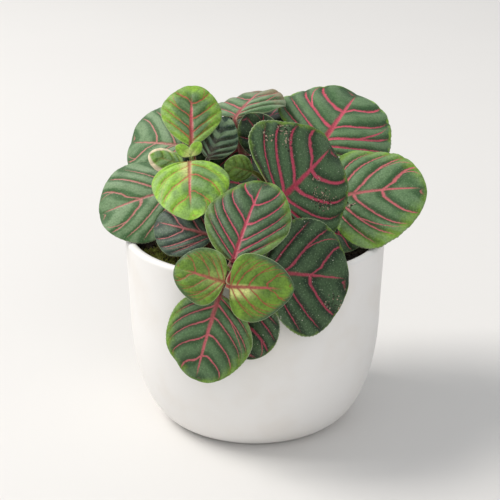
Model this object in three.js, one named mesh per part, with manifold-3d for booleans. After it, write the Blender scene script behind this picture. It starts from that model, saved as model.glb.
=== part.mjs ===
// A nerve plant in a round-bottomed ceramic pot. The pot is filled with soil, and
// leafy stems stand in holes in it. Each leaf is one piece: a thin, waved blade, pleated
// along its side veins, with a petiole that reaches to its stem.
import * as THREE from "three";
import { mergeVertices } from "three/addons/utils/BufferGeometryUtils.js";
import Module from "manifold-3d";

const wasm = await Module();
wasm.setup();

// Driving dimensions, in millimetres. Z is up, and the origin is the middle of the pot's foot.
const POT_HEIGHT = 90;
const RIM_RADIUS = 60;
const SHOULDER_HEIGHT = 56;
const SHOULDER_RADIUS = 58.6;
const FOOT_RADIUS = 36;
const POT_CURVE = 2.15;
const POT_WALL = 4.2;
const POT_FLOOR = 6;
const POT_SIDES = 36;
const SOIL_HEIGHT = 81;
const SOIL_RELIEF = 1.4;
const SOIL_GAP = 0.4;

const STEM_FOOT_RADIUS = 2.2;
const STEM_TIP_RADIUS = 1.5;
const STEM_SIDES = 8;
const STEM_STEPS = 9;
const STEM_GAP = 0.4;

const BLADE_THICKNESS = 0.75;
const PETIOLE_RADIUS = 1.1;
const PETIOLE_STEPS = 3;

// A blade's outline, and where its side veins leave the midrib and meet the margin, as
// powers of the row that they lie on.
const OUTLINE_POWER = 0.56;
const VEIN_AT_MIDRIB = 1.35;
const VEIN_AT_MARGIN = 0.78;
const VEIN_CURVE = 1.3;
const PLEAT_DEPTH = 0.014;
const MARGIN_WAVE = 0.025;
const MARGIN_RIPPLE = 0.9;

const ceramic = new THREE.MeshStandardMaterial({ color: 0xf1efec, roughness: 0.55, metalness: 0 });
const earth = new THREE.MeshStandardMaterial({ color: 0x2b2118, roughness: 0.95, metalness: 0 });
const stalk = new THREE.MeshStandardMaterial({ color: 0x8b5a4a, roughness: 0.6, metalness: 0 });
const green = new THREE.MeshStandardMaterial({ color: 0x3b6448, roughness: 0.55, metalness: 0 });
const lime = new THREE.MeshStandardMaterial({ color: 0x7fae45, roughness: 0.5, metalness: 0 });

// Kinds of leaf: the columns and rows of patches in the blade, and its pairs of side veins.
const MATURE = { columns: 6, rows: 10, veins: 5, material: green };
const SHADED = { columns: 4, rows: 8, veins: 4, material: green };
const YOUNG = { columns: 4, rows: 8, veins: 4, material: lime };
const UNOPENED = { columns: 2, rows: 4, veins: 0, material: lime };

// A leaf: how far up its stem it joins, where its blade begins, the heading, rise and roll
// of its midrib in degrees, and the blade's length, width and bend.
function leaf(name, joint, at, [heading, rise, roll], [length, width, bend], kind, shape = {}) {
  const form = { fullness: 1, arch: 0.55, gutter: 0.12, pleat: 1 };
  return { name, joint, at, heading, rise, roll, length, width, bend, ...form, ...kind, ...shape };
}

// Each stem: the points that it passes from the foot of its hole to its growing tip, and
// the leaves that it bears.
const STEMS = [
  {
    name: "front",
    path: [[-6, -26, 68], [-7, -38, 90], [-8, -53, 98], [-9.6, -64.5, 94.8]],
    leaves: [
      leaf("front_tip_left", 0.97, [-12.4, -71.2, 92.2], [164, 12, -62], [23, 25.4, 14], YOUNG, { fullness: 0.75 }),
      leaf("front_tip_right", 0.97, [-10.4, -74.7, 91.7], [4, -4, 76], [26.8, 29.2, 6], YOUNG, { fullness: 0.6, arch: 0.3 }),
      leaf("front_up", 0.86, [-9, -64, 98.4], [64, 50, 8], [41, 38, 22], MATURE, { arch: 0.35 }),
      leaf("front_down", 0.84, [-14.5, -69, 86], [-146, -68, -40], [40, 40, 20], MATURE, { fullness: 0.94 }),
      leaf("front_right", 0.7, [2.7, -63.6, 94.1], [15, -10, 62], [41, 52.5, 12], MATURE, { arch: 0.42 }),
      leaf("front_left", 0.56, [-17.9, -36.9, 99.8], [155, 8, -45], [30.6, 28, 16], MATURE),
      leaf("front_floor", 0.42, [2, -38, 93], [-2, 8, 10], [24, 24, 14], SHADED),
      leaf("front_under", 0.76, [-3, -65.3, 85], [-90, -87, 10], [30, 28, 2], MATURE, { arch: 0.15 }),
    ],
  },
  {
    name: "left",
    path: [[-20, -4, 68], [-23, -5, 95], [-26, -7, 115], [-28, -10, 126]],
    leaves: [
      leaf("left_tip_up", 0.95, [-28.3, -7, 132], [92, 48, 0], [33, 29, 14], YOUNG, { fullness: 1.18 }),
      leaf("left_tip_down", 0.95, [-28.9, -15, 127], [-88, -24, 6], [31.4, 36, 26], YOUNG, { fullness: 0.68 }),
      leaf("left_curled", 0.84, [-32, -13, 125], [176, 18, -50], [16, 14, 10], YOUNG, { arch: 1, pleat: 2 }),
      leaf("left_puckered", 0.84, [-21, -6, 126], [62, 38, 30], [24.3, 19.4, 6], MATURE, { pleat: 1.8 }),
      leaf("left_high", 0.68, [-31.5, 1, 129.6], [148, -1, -54], [37, 47, 25], MATURE),
      leaf("left_low", 0.56, [-33, -11, 114], [184, -13, -50], [41, 42, 26], MATURE),
      leaf("left_lower", 0.46, [-30, 3, 102], [155, -4, -10], [30, 30, 20], SHADED),
      leaf("left_inner", 0.5, [-20, -4, 115], [-18, 2, 30], [22, 26, 14], SHADED),
    ],
  },
  {
    name: "right",
    path: [[14, -6, 68], [14, -9, 90], [12, -15, 105], [9, -22, 113]],
    leaves: [
      leaf("right_front", 0.93, [9.9, -36.6, 116], [45, 24, 64], [44, 62, 18], MATURE, { fullness: 0.6, arch: 0.4 }),
      leaf("right_folded", 0.93, [8.1, 8.6, 123.5], [174, 56, -80], [22.4, 18, 6], SHADED, { gutter: 0.45 }),
      leaf("right_small", 0.8, [-1, -14, 122], [178, 16, -70], [13, 13, 6], YOUNG),
      leaf("right_high", 0.68, [29.5, 18, 123.5], [62, 24, 24], [54, 62, 18], MATURE, { fullness: 0.86 }),
      leaf("right_low", 0.6, [33.4, -6.8, 107], [-8, 17, 35.6], [44.8, 60.2, 25], MATURE, { fullness: 0.72 }),
      leaf("right_lower", 0.46, [22, -8, 94], [-10, -4, 10], [28, 28, 20], SHADED),
      leaf("right_inner", 0.5, [8, -2, 111.4], [150, 18.5, -40], [24, 27, 14], SHADED),
      leaf("right_rear", 0.56, [23, 5, 110], [50, 4, 4], [28, 28, 20], SHADED),
      leaf("right_floor", 0.34, [19, 2, 96], [36, 6, 0], [24, 26, 16], SHADED),
    ],
  },
  {
    name: "back",
    path: [[2, 18, 68], [0, 18, 95], [-5, 17, 118], [-9, 18, 134]],
    leaves: [
      leaf("back_high", 0.95, [-9, 14, 139.6], [72, 12, -6.5], [40, 36.5, 14], MATURE),
      leaf("back_away", 0.95, [-13, 21, 135], [130, 0, 0], [36, 36, 26], SHADED),
      leaf("back_down", 0.8, [1.6, 25, 126.6], [74, 22, 0], [38, 37, 26], SHADED),
      leaf("back_left", 0.68, [-4.8, 22.2, 121.2], [172, 6, -30], [32, 34, 20], SHADED),
      leaf("back_right", 0.44, [9, 17, 101], [6, 4, 0], [24, 22, 16], SHADED),
      leaf("back_low", 0.36, [-6, 28, 96], [105, 6, 0], [36, 34, 30], SHADED),
    ],
  },
  {
    name: "rear",
    path: [[18, 26, 68], [21, 30, 90], [24, 34, 104], [26, 38, 116]],
    leaves: [
      leaf("rear_out", 0.96, [31, 42, 116], [46, -4, 0], [38, 38, 34], SHADED),
      leaf("rear_in", 0.96, [21, 43, 117], [132, 2, 0], [34, 32, 30], SHADED),
      leaf("rear_right", 0.68, [30, 30, 103], [10, -4, 6], [42, 40, 26], SHADED),
      leaf("rear_low", 0.56, [23, 38, 100], [86, 2, 0], [40, 40, 36], SHADED),
    ],
  },
  {
    name: "side",
    path: [[-24, 20, 68], [-31, 26, 90], [-37, 32, 102], [-40, 36, 110]],
    leaves: [
      leaf("side_out", 0.96, [-45, 34, 109], [176, -10, 18], [29, 34, 34], SHADED),
      leaf("side_back", 0.96, [-38, 41, 114], [88, 4, 10], [36, 36, 34], SHADED),
      leaf("side_low", 0.6, [-39, 35, 97], [132, 0, 0], [36, 36, 36], SHADED),
    ],
  },
];

// The unopened leaves at a stem's tip: heading, rise and roll, then length and width.
const BUDS = [
  { stem: "left", lift: 3, leaves: [[166, 30, -56, 8, 6.2], [28, 48, 56, 7.4, 6]] },
];

// Joins rings of points, each a closed loop of one count, and closes both ends. The split
// rule says, for each place on the loop, which way the four-cornered patch there is cut.
function loft(rings, cap, split) {
  const count = rings[0].length;
  const faces = [];
  for (let row = 0; row + 1 < rings.length; row += 1) {
    for (let k = 0; k < count; k += 1) {
      const a = row * count + k;
      const b = row * count + ((k + 1) % count);
      const c = a + count;
      const d = b + count;
      faces.push(...(split(k) ? [a, b, d, a, d, c] : [a, b, c, b, d, c]));
    }
  }
  const last = (rings.length - 1) * count;
  for (const [p, q, r] of cap) {
    faces.push(p, r, q);
    faces.push(last + p, last + q, last + r);
  }
  const geometry = new THREE.BufferGeometry();
  const corners = rings.flat().flatMap((corner) => corner.toArray());
  geometry.setAttribute("position", new THREE.Float32BufferAttribute(corners, 3));
  geometry.setIndex(faces);
  return geometry;
}

// The same shape with shared points merged, without the patches that shrank to a line.
function welded(geometry) {
  const bare = geometry.clone();
  bare.deleteAttribute("normal");
  bare.deleteAttribute("uv");
  const merged = mergeVertices(bare, 1e-3);
  const index = merged.index.array;
  const kept = [];
  for (let i = 0; i < index.length; i += 3) {
    const [a, b, c] = index.slice(i, i + 3);
    if (a !== b && b !== c && a !== c) kept.push(a, b, c);
  }
  merged.setIndex(kept);
  return merged;
}

function solidFrom(geometry) {
  const merged = welded(geometry);
  return new wasm.Manifold(new wasm.Mesh({
    numProp: 3,
    vertProperties: merged.attributes.position.array,
    triVerts: new Uint32Array(merged.index.array),
  }));
}

function geometryFrom(solid) {
  const mesh = solid.getMesh();
  const geometry = new THREE.BufferGeometry();
  geometry.setAttribute("position", new THREE.BufferAttribute(new Float32Array(mesh.vertProperties), 3));
  geometry.setIndex(new THREE.BufferAttribute(new Uint32Array(mesh.triVerts), 1));
  return geometry;
}

function namedMesh(name, geometry, material) {
  const mesh = new THREE.Mesh(geometry, material);
  mesh.name = name;
  return mesh;
}

// The pot's outside radius at a height: a rounded quarter up to the shoulder, and from
// there a wall that leans out a little to the rim.
function potRadius(height) {
  if (height >= SHOULDER_HEIGHT) {
    const share = (height - SHOULDER_HEIGHT) / (POT_HEIGHT - SHOULDER_HEIGHT);
    return SHOULDER_RADIUS + share * (RIM_RADIUS - SHOULDER_RADIUS);
  }
  const drop = 1 - height / SHOULDER_HEIGHT;
  return FOOT_RADIUS + (SHOULDER_RADIUS - FOOT_RADIUS) * (1 - drop ** POT_CURVE) ** (1 / POT_CURVE);
}

function turned(outline) {
  const profile = outline.map(([radius, height]) => new THREE.Vector2(radius, height));
  return new THREE.LatheGeometry(profile, POT_SIDES).rotateX(Math.PI / 2);
}

function potGeometry() {
  const lip = POT_WALL / 2;
  const heights = [0, 0.6, 2.5, 6, 11, 18, 27, 38, SHOULDER_HEIGHT, POT_HEIGHT - lip];
  const outside = heights.map((z) => [potRadius(z), z]);
  const brow = [45, 90, 135].map((angle) => {
    const turn = THREE.MathUtils.degToRad(angle);
    return [RIM_RADIUS - lip + lip * Math.cos(turn), POT_HEIGHT - lip + lip * Math.sin(turn)];
  });
  const inside = [POT_HEIGHT - lip, SHOULDER_HEIGHT, 34, 20, 12].map((z) => [potRadius(z) - POT_WALL, z]);
  const floor = [[potRadius(12) - POT_WALL - 7, POT_FLOOR], [0, POT_FLOOR]];
  return turned([[0, 0], ...outside, ...brow, ...inside, ...floor]);
}

// The low mounds and hollows of the soil's surface.
function soilRelief(x, y) {
  return SOIL_RELIEF * (Math.sin(0.19 * x + 1.3) * Math.cos(0.17 * y) + 0.5 * Math.sin(0.41 * x - 0.33 * y));
}

function soilGeometry(holes) {
  const inset = POT_WALL + SOIL_GAP;
  const bottom = [[0, POT_FLOOR + SOIL_GAP], [potRadius(12) - inset - 7, POT_FLOOR + SOIL_GAP]];
  const wall = [12, 20, 34, SHOULDER_HEIGHT, SOIL_HEIGHT - 2.5].map((z) => [potRadius(z) - inset, z]);
  const top = [49, 37, 25, 12, 0].map((radius) => [radius, SOIL_HEIGHT]);
  const geometry = turned([...bottom, ...wall, ...top]);
  const place = geometry.attributes.position;
  for (let i = 0; i < place.count; i += 1) {
    const onTop = place.getZ(i) > SOIL_HEIGHT - 1;
    if (onTop) place.setZ(i, SOIL_HEIGHT + soilRelief(place.getX(i), place.getY(i)));
  }
  return geometryFrom(holes.reduce((solid, hole) => solid.subtract(hole), solidFrom(geometry)));
}

function stemRadius(share) {
  return STEM_FOOT_RADIUS + (STEM_TIP_RADIUS - STEM_FOOT_RADIUS) * share;
}

// A tapered rod along a stem's curve, wider all round by a margin, and longer at its foot.
function rodGeometry(curve, margin) {
  const frames = curve.computeFrenetFrames(STEM_STEPS, false);
  const rings = [];
  for (let i = 0; i <= STEM_STEPS; i += 1) {
    const middle = curve.getPointAt(i / STEM_STEPS);
    if (i === 0) middle.addScaledVector(frames.tangents[0], -margin);
    const radius = stemRadius(i / STEM_STEPS) + margin;
    const ring = [];
    for (let k = 0; k < STEM_SIDES; k += 1) {
      const turn = (2 * Math.PI * k) / STEM_SIDES;
      const spoke = frames.normals[i].clone().multiplyScalar(Math.cos(turn));
      spoke.addScaledVector(frames.binormals[i], Math.sin(turn));
      ring.push(middle.clone().addScaledVector(spoke, radius));
    }
    rings.push(ring);
  }
  const cap = [];
  for (let k = 1; k + 1 < STEM_SIDES; k += 1) cap.push([0, k, k + 1]);
  return loft(rings, cap, () => true);
}

// Half a blade's width at a share of its length, with a slight wave along each margin.
function halfWidth(blade, along, t) {
  const outline = Math.max(0, Math.sin(Math.PI * along ** blade.fullness)) ** OUTLINE_POWER;
  const wave = 1 + MARGIN_WAVE * Math.sin(7.5 * along + blade.phase + (t < 0 ? 2.1 : 0));
  return Math.hypot((blade.width / 2) * outline * wave, PETIOLE_RADIUS * (1 - along) ** 3);
}

// A point of a blade's middle surface in row s and at t across it (-1 to 1), and the way
// that the blade is thick there. Rows follow the side veins, and so do the pleats.
function bladePoint(blade, s, t) {
  const edge = Math.abs(t);
  const along = s ** (VEIN_AT_MIDRIB + (VEIN_AT_MARGIN - VEIN_AT_MIDRIB) * edge ** VEIN_CURVE);
  const bend = THREE.MathUtils.degToRad(blade.bend);
  const turn = bend * along;
  const across = t * halfWidth(blade, along, t);
  const curl = blade.arch / (blade.width / 2);
  const relief = Math.min(1, 2.2 * edge) * (1 - 0.55 * t * t) * Math.min(1, 6 * (1 - s));
  const pleat = -blade.pleat * PLEAT_DEPTH * blade.length * Math.cos(2 * Math.PI * blade.veins * s) * relief;
  const wave = Math.sin(9 * along + blade.phase + (t < 0 ? 1.7 : 0));
  const ripple = MARGIN_RIPPLE * (blade.width / 40) * t * t * wave * Math.min(1, 3 * along);
  const drop = (1 - Math.cos(curl * across)) / curl;
  const up = new THREE.Vector3(Math.sin(turn), 0, Math.cos(turn));
  const point = new THREE.Vector3(
    (blade.length * Math.sin(turn)) / bend,
    Math.sin(curl * across) / curl,
    (-blade.length * (1 - Math.cos(turn))) / bend,
  );
  point.addScaledVector(up, pleat + ripple - drop + blade.gutter * Math.abs(across));
  return { point, up };
}

// The petiole's middle line: it leaves the stem squarely and runs into the midrib.
function petiolePoint(foot, outward, share) {
  const reach = foot.length();
  const point = foot.clone().multiplyScalar(2 * share ** 3 - 3 * share ** 2 + 1);
  point.addScaledVector(outward, reach * (share ** 3 - 2 * share ** 2 + share));
  point.x += reach * (share ** 3 - share ** 2);
  return point;
}

// One loop round the petiole, flattened towards its two edges.
function petioleRing(foot, outward, share, places) {
  const middle = petiolePoint(foot, outward, share);
  const ahead = petiolePoint(foot, outward, share + 0.02);
  ahead.sub(petiolePoint(foot, outward, Math.max(0, share - 0.02))).normalize();
  const side = new THREE.Vector3(0, 1, 0).addScaledVector(ahead, -ahead.y).normalize();
  const up = ahead.clone().cross(side);
  const at = (t, sign) => {
    const height = Math.max(BLADE_THICKNESS / 2, PETIOLE_RADIUS * Math.sqrt(1 - t * t));
    const point = middle.clone().addScaledVector(side, t * PETIOLE_RADIUS);
    return point.addScaledVector(up, sign * height);
  };
  return [...places.map((t) => at(t, 1)), ...places.map((t) => at(t, -1)).reverse()];
}

// One loop round the blade along row s: over its upper face and back under the lower one,
// which has a keel along the midrib.
function bladeRing(blade, s, places) {
  const top = [];
  const under = [];
  for (const t of places) {
    const { point, up } = bladePoint(blade, s, s < 1 ? t : 0);
    const keel = PETIOLE_RADIUS * (1 - s) ** 1.5 * Math.max(0, 1 - 2.5 * Math.abs(t));
    top.push(point.clone().addScaledVector(up, BLADE_THICKNESS / 2));
    under.push(point.clone().addScaledVector(up, -BLADE_THICKNESS / 2 - keel));
  }
  return [...top, ...under.reverse()];
}

// A whole leaf in the blade's own frame: X along the midrib, Y to its left, Z upwards.
function leafGeometry(blade, foot, outward) {
  const half = blade.columns / 2;
  const wide = blade.columns + 1;
  const places = Array.from({ length: wide }, (_, j) => (half - j) / half);
  const rows = [0, 0.03];
  for (let i = 1; i < blade.rows; i += 1) rows.push(i / blade.rows);
  rows.push(0.975, 1);
  const rings = [];
  for (let i = 0; i < PETIOLE_STEPS; i += 1) {
    rings.push(petioleRing(foot, outward, i / PETIOLE_STEPS, places));
  }
  rows.forEach((s) => rings.push(bladeRing(blade, s, places)));
  const cap = [];
  for (let j = 0; j + 1 < wide; j += 1) {
    const below = 2 * wide - 1 - j;
    cap.push([j, j + 1, below], [j + 1, below - 1, below]);
  }
  return loft(rings, cap, (k) => (k < wide - 1 ? k < half : 2 * wide - 2 - k >= half));
}

// Turns a blade's frame to its heading, rise and roll, and sets it down at its place.
function placement(at, heading, rise, roll) {
  const turns = [roll, -rise, heading].map((angle) => THREE.MathUtils.degToRad(angle));
  const turn = new THREE.Quaternion().setFromEuler(new THREE.Euler(...turns, "ZYX"));
  return new THREE.Matrix4().compose(new THREE.Vector3(...at), turn, new THREE.Vector3(1, 1, 1));
}

function leafMesh(blade, curve) {
  const place = placement(blade.at, blade.heading, blade.rise, blade.roll);
  const node = curve.getPointAt(blade.joint);
  const tangent = curve.getTangentAt(blade.joint);
  const outward = new THREE.Vector3(...blade.at).sub(node);
  outward.addScaledVector(tangent, -outward.dot(tangent)).normalize();
  const foot = node.clone().addScaledVector(outward, stemRadius(blade.joint) + STEM_GAP);
  const home = place.clone().invert();
  const geometry = leafGeometry(blade, foot.applyMatrix4(home), outward.transformDirection(home));
  const mesh = namedMesh(`leaf_${blade.name}`, welded(geometry), blade.material);
  mesh.applyMatrix4(place);
  return mesh;
}

// Two unopened leaves, joined at their feet, just off the tip of a stem.
function budGeometry(bud, curve) {
  const tip = curve.getPointAt(1);
  const tangent = curve.getTangentAt(1);
  const foot = tip.clone().addScaledVector(tangent, STEM_GAP);
  const start = foot.clone().addScaledVector(tangent, bud.lift);
  const solids = bud.leaves.map(([heading, rise, roll, length, width], index) => {
    const small = leaf("bud", 1, start.toArray(), [heading, rise, roll], [length, width, 12], UNOPENED);
    small.phase = index;
    const home = placement(small.at, heading, rise, roll);
    const inverse = home.clone().invert();
    const geometry = leafGeometry(
      small, foot.clone().applyMatrix4(inverse), tangent.clone().transformDirection(inverse));
    return solidFrom(geometry.applyMatrix4(home));
  });
  return geometryFrom(solids[0].add(solids[1]));
}

const plant = new THREE.Group();
plant.add(namedMesh("pot", welded(potGeometry()), ceramic));

const holes = [];
let count = 0;
for (const { name, path, leaves } of STEMS) {
  const curve = new THREE.CatmullRomCurve3(path.map((point) => new THREE.Vector3(...point)), false, "centripetal");
  const shoot = new THREE.Group();
  shoot.add(namedMesh(`stem_${name}`, welded(rodGeometry(curve, 0)), stalk));
  for (const blade of leaves) {
    shoot.add(leafMesh({ ...blade, phase: 1.9 * count }, curve));
    count += 1;
  }
  for (const bud of BUDS.filter(({ stem }) => stem === name)) {
    shoot.add(namedMesh(`bud_${name}`, budGeometry(bud, curve), lime));
  }
  plant.add(shoot);
  holes.push(solidFrom(rodGeometry(curve, STEM_GAP)));
}
plant.add(namedMesh("soil", soilGeometry(holes), earth));

export default plant;
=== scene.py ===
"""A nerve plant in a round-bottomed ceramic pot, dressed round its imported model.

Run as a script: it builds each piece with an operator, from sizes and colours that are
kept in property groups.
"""

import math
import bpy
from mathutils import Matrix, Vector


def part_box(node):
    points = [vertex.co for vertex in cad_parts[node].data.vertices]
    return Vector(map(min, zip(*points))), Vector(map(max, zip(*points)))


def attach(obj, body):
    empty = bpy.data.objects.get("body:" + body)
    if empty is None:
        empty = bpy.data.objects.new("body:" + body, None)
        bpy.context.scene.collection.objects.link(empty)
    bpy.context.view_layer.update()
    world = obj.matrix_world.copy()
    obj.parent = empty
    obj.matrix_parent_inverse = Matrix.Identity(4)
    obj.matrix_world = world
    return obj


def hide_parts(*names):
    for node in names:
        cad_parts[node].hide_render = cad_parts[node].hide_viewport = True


bl_info = {
    "name": "Potted Nerve Plant",
    "version": (1, 0, 0),
    "blender": (4, 5, 0),
    "location": "3D Viewport > Sidebar > Plant",
    "description": "Builds a nerve plant with veined leaves in a white ceramic pot",
    "category": "Add Mesh",
}

from functools import partialmethod

import bpy
import numpy as np
from bpy.props import FloatProperty, FloatVectorProperty, IntProperty, PointerProperty
from mathutils import Euler, Vector, noise

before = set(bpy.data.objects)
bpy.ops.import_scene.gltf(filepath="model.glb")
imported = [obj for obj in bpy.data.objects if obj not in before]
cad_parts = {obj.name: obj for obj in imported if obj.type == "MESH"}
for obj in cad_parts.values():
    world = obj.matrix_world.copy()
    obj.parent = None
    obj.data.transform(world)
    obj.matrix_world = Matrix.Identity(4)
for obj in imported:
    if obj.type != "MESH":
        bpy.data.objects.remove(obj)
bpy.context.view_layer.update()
POT_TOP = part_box("pot")[1]
BODY = "root"
MM = 0.001

# A row of the blade's mesh starts on the midrib and ends on the margin at its number
# raised to these powers.
ROW_AT_MIDRIB = 1.35
ROW_AT_MARGIN = 0.78
ROW_CURVE = 1.3

# Faces round a piece and along it. A leaf has them round, along its petiole, and along the
# petiole and blade together. The coarse grid is for leaves that others cover.
POT_SIDES = 160
SOIL_SIDES, SOIL_RINGS = 168, 70
STEM_SIDES, STEM_RINGS = 20, 90
FINE_GRID = (96, 10, 96)
COARSE_GRID = (64, 8, 60)

# The blade's outline: how soon it widens, its two waves (height as a share of the half
# width, and turns along the blade), and the share of its length that a notch takes.
OUTLINE_POWER = 0.56
BROAD_WAVE = (0.025, 7.5)
FINE_WAVE = (0.006, 150)
NOTCH_LENGTH = 0.07

# Its relief: how broad the cushions are, the spacing of veins at which they stand full, the
# share beside the midrib where the veins of both sides shift, the margin's ripples, and
# how fine the swelling is.
CUSHION_POWER = 0.8
FULL_SPACING = 0.0045
MIDRIB_SHARE = 0.14
RIPPLE_TURNS = 9
SWELL_SCALE = 230.0

# Its skin: the midrib's groove (depth as a share of the petiole's radius, and width), the
# keel's width, and how sharply margin and tip are rounded.
GROOVE_DEPTH, GROOVE_WIDTH = 0.3, 0.0009
KEEL_WIDTH = 0.001
ROUND_MARGIN, ROUND_TIP = 36, 60

# How far a petiole is sunk in its stem, and how much its joint swells the stem, over which
# share of the stem's length.
PETIOLE_SINK = 0.3 * MM
JOINT_SWELLING, JOINT_LENGTH = 0.16, 0.03

# The height at which the pot's inner wall turns in to the floor, and how far in from there
# the floor lies flat. The soil keeps a gap from both.
INNER_FOOT = 12 * MM
FLOOR_INSET = 7 * MM
SOIL_GAP = 0.4 * MM

MOSS_PLACE = Vector((-41, -11)) * MM
MOSS_RADIUS = 14 * MM

CAMERA_PLACE = (0.0, -0.56273, 0.28816)
CAMERA_SHIFT = -0.01

# A light: its place, the point that it faces, its width and its tint.
LIGHTS = {
    "key": ((-1.9, 0.35, 2.2), (0, 0, 0.1), 1.5, (255, 252, 248)),
    "fill": ((0.6, -2.6, 1.5), (0, 0, 0.09), 1.8, (250, 250, 252)),
}


def srgb(red, green, blue):
    """A colour given as 0 to 255 on screen, as the linear values that Blender keeps."""
    linear = []
    for part in (red, green, blue):
        share = part / 255
        linear.append(share / 12.92 if share <= 0.04045 else ((share + 0.055) / 1.055) ** 2.4)
    return tuple(linear)


# ---------------------------------------------------------------------------------------
# The plant, as its source gives it, in millimetres and degrees
# ---------------------------------------------------------------------------------------

# Leaf: name, joint along the stem, where the blade begins, (heading, rise, roll),
# (length, width, bend), look, and what differs from the usual form.
STEMS = {
    "front": (
        ((-6, -26, 68), (-7, -38, 90), (-8, -53, 98), (-9.6, -64.5, 94.8)),
        (
            ("front_tip_left", 0.97, (-12.4, -71.2, 92.2), (164, 12, -62), (23, 25.4, 14), "young_olive",
             {"fullness": 0.75}),
            ("front_tip_right", 0.97, (-10.4, -74.7, 91.7), (4, -4, 76), (26.8, 29.2, 6), "young_rim",
             {"fullness": 0.6, "arch": 0.3}),
            ("front_up", 0.86, (-9, -64, 98.4), (64, 50, 8), (41, 38, 22), "upright", {"arch": 0.35}),
            ("front_down", 0.84, (-14.5, -69, 86), (-146, -68, -40), (40, 40, 20), "half_grown",
             {"sweep": (2.0, 0.4, 0.95), "notch": (0.88, 0.16, -1), "fullness": 0.94}),
            ("front_right", 0.7, (2.7, -63.6, 94.1), (15, -10, 62), (41, 52.5, 12), "deep", {"arch": 0.42}),
            ("front_left", 0.56, (-17.9, -36.9, 99.8), (155, 8, -45), (30.6, 28, 16), "blue", {}),
            ("front_floor", 0.42, (2, -38, 93), (-2, 8, 10), (24, 24, 14), "shaded", {}),
            ("front_under", 0.76, (-3, -65.3, 85), (-90, -87, 10), (30, 28, 2), "deep", {"arch": 0.15}),
        ),
    ),
    "left": (
        ((-20, -4, 68), (-23, -5, 95), (-26, -7, 115), (-28, -10, 126)),
        (
            ("left_tip_up", 0.95, (-28.3, -7, 132), (92, 48, 0), (33, 29, 14), "young", {"fullness": 1.18}),
            ("left_tip_down", 0.95, (-28.9, -15, 127), (-88, -24, 6), (31.4, 36, 26), "young_glow",
             {"fullness": 0.68}),
            ("left_curled", 0.84, (-32, -13, 125), (176, 18, -50), (16, 14, 10), "young_dry",
             {"arch": 1.0, "pleat": 2.0}),
            ("left_puckered", 0.84, (-21, -6, 126), (62, 38, 30), (24.3, 19.4, 6), "puckered",
             {"pleat": 3.2}),
            ("left_high", 0.68, (-31.5, 1, 129.6), (148, -1, -54), (37, 47, 25), "fanned", {"pleat": 0.4}),
            ("left_low", 0.56, (-33, -11, 114), (184, -13, -50), (41, 42, 26), "fanned", {"pleat": 0.4}),
            ("left_lower", 0.46, (-30, 3, 102), (155, -4, -10), (30, 30, 20), "shaded", {}),
            ("left_inner", 0.5, (-20, -4, 115), (-18, 2, 30), (22, 26, 14), "shaded", {}),
        ),
    ),
    "right": (
        ((14, -6, 68), (14, -9, 90), (12, -15, 105), (9, -22, 113)),
        (
            ("right_front", 0.93, (9.9, -36.6, 116), (45, 24, 64), (44, 63, 18), "dusty",
             {"fullness": 0.6, "arch": 0.4}),
            ("right_folded", 0.93, (8.1, 8.6, 123.5), (174, 56, -80), (22.4, 20.4, 6), "folded",
             {"gutter": 0.45}),
            ("right_small", 0.8, (-1, -14, 122), (178, 16, -70), (13, 13, 6), "young_plain", {}),
            ("right_high", 0.68, (29.5, 18, 123.5), (62, 24, 24), (54, 62, 18), "grown",
             {"fullness": 0.86}),
            ("right_low", 0.6, (33.4, -6.8, 107), (-8, 17, 35.6), (44.8, 60.2, 25), "spread",
             {"fullness": 0.72}),
            ("right_lower", 0.46, (22, -8, 94), (-10, -4, 10), (28, 28, 20), "shaded", {}),
            ("right_inner", 0.5, (8, -2, 111.4), (150, 18.5, -40), (24, 27, 14), "shaded", {}),
            ("right_rear", 0.56, (23, 5, 110), (50, 4, 4), (28, 28, 20), "shaded", {}),
            ("right_floor", 0.34, (19, 2, 96), (36, 6, 0), (24, 26, 16), "shaded", {}),
        ),
    ),
    "back": (
        ((2, 18, 68), (0, 18, 95), (-5, 17, 118), (-9, 18, 134)),
        (
            ("back_high", 0.95, (-9, 14, 139.6), (72, 12, -6.5), (40, 36.5, 14), "bronze", {}),
            ("back_away", 0.95, (-13, 21, 135), (130, 0, 0), (36, 36, 26), "shaded", {}),
            ("back_down", 0.8, (1.6, 25, 126.6), (74, 22, 0), (38, 37, 26), "shaded", {}),
            ("back_left", 0.68, (-4.8, 22.2, 121.2), (172, 6, -30), (32, 34, 20), "shaded", {}),
            ("back_right", 0.44, (9, 17, 101), (6, 4, 0), (24, 22, 16), "shaded", {}),
            ("back_low", 0.36, (-6, 28, 96), (105, 6, 0), (36, 34, 30), "shaded", {}),
        ),
    ),
    "rear": (
        ((18, 26, 68), (21, 30, 90), (24, 34, 104), (26, 38, 116)),
        (
            ("rear_out", 0.96, (31, 42, 116), (46, -4, 0), (38, 38, 34), "shaded", {}),
            ("rear_in", 0.96, (21, 43, 117), (132, 2, 0), (34, 32, 30), "shaded", {}),
            ("rear_right", 0.68, (30, 30, 103), (10, -4, 6), (42, 40, 26), "shaded", {}),
            ("rear_low", 0.56, (23, 38, 100), (86, 2, 0), (40, 40, 36), "shaded", {}),
        ),
    ),
    "side": (
        ((-24, 20, 68), (-31, 26, 90), (-37, 32, 102), (-40, 36, 110)),
        (
            ("side_out", 0.96, (-45, 34, 109), (176, -10, 18), (29, 34, 34), "shaded", {}),
            ("side_back", 0.96, (-38, 41, 114), (88, 4, 10), (36, 36, 34), "shaded", {}),
            ("side_low", 0.6, (-39, 35, 97), (132, 0, 0), (36, 36, 36), "shaded", {}),
        ),
    ),
}

# Unopened leaves at a stem's tip: heading, rise and roll, then length and width.
BUD_LEAVES = {
    "left": (3.0, ((166, 30, -56, 8.0, 6.2), (28, 48, 56, 7.4, 6.0))),
    "front": (1.2, ((150, 40, 0, 3.4, 2.6), (-20, 46, 10, 3.0, 2.4))),
}

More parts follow.
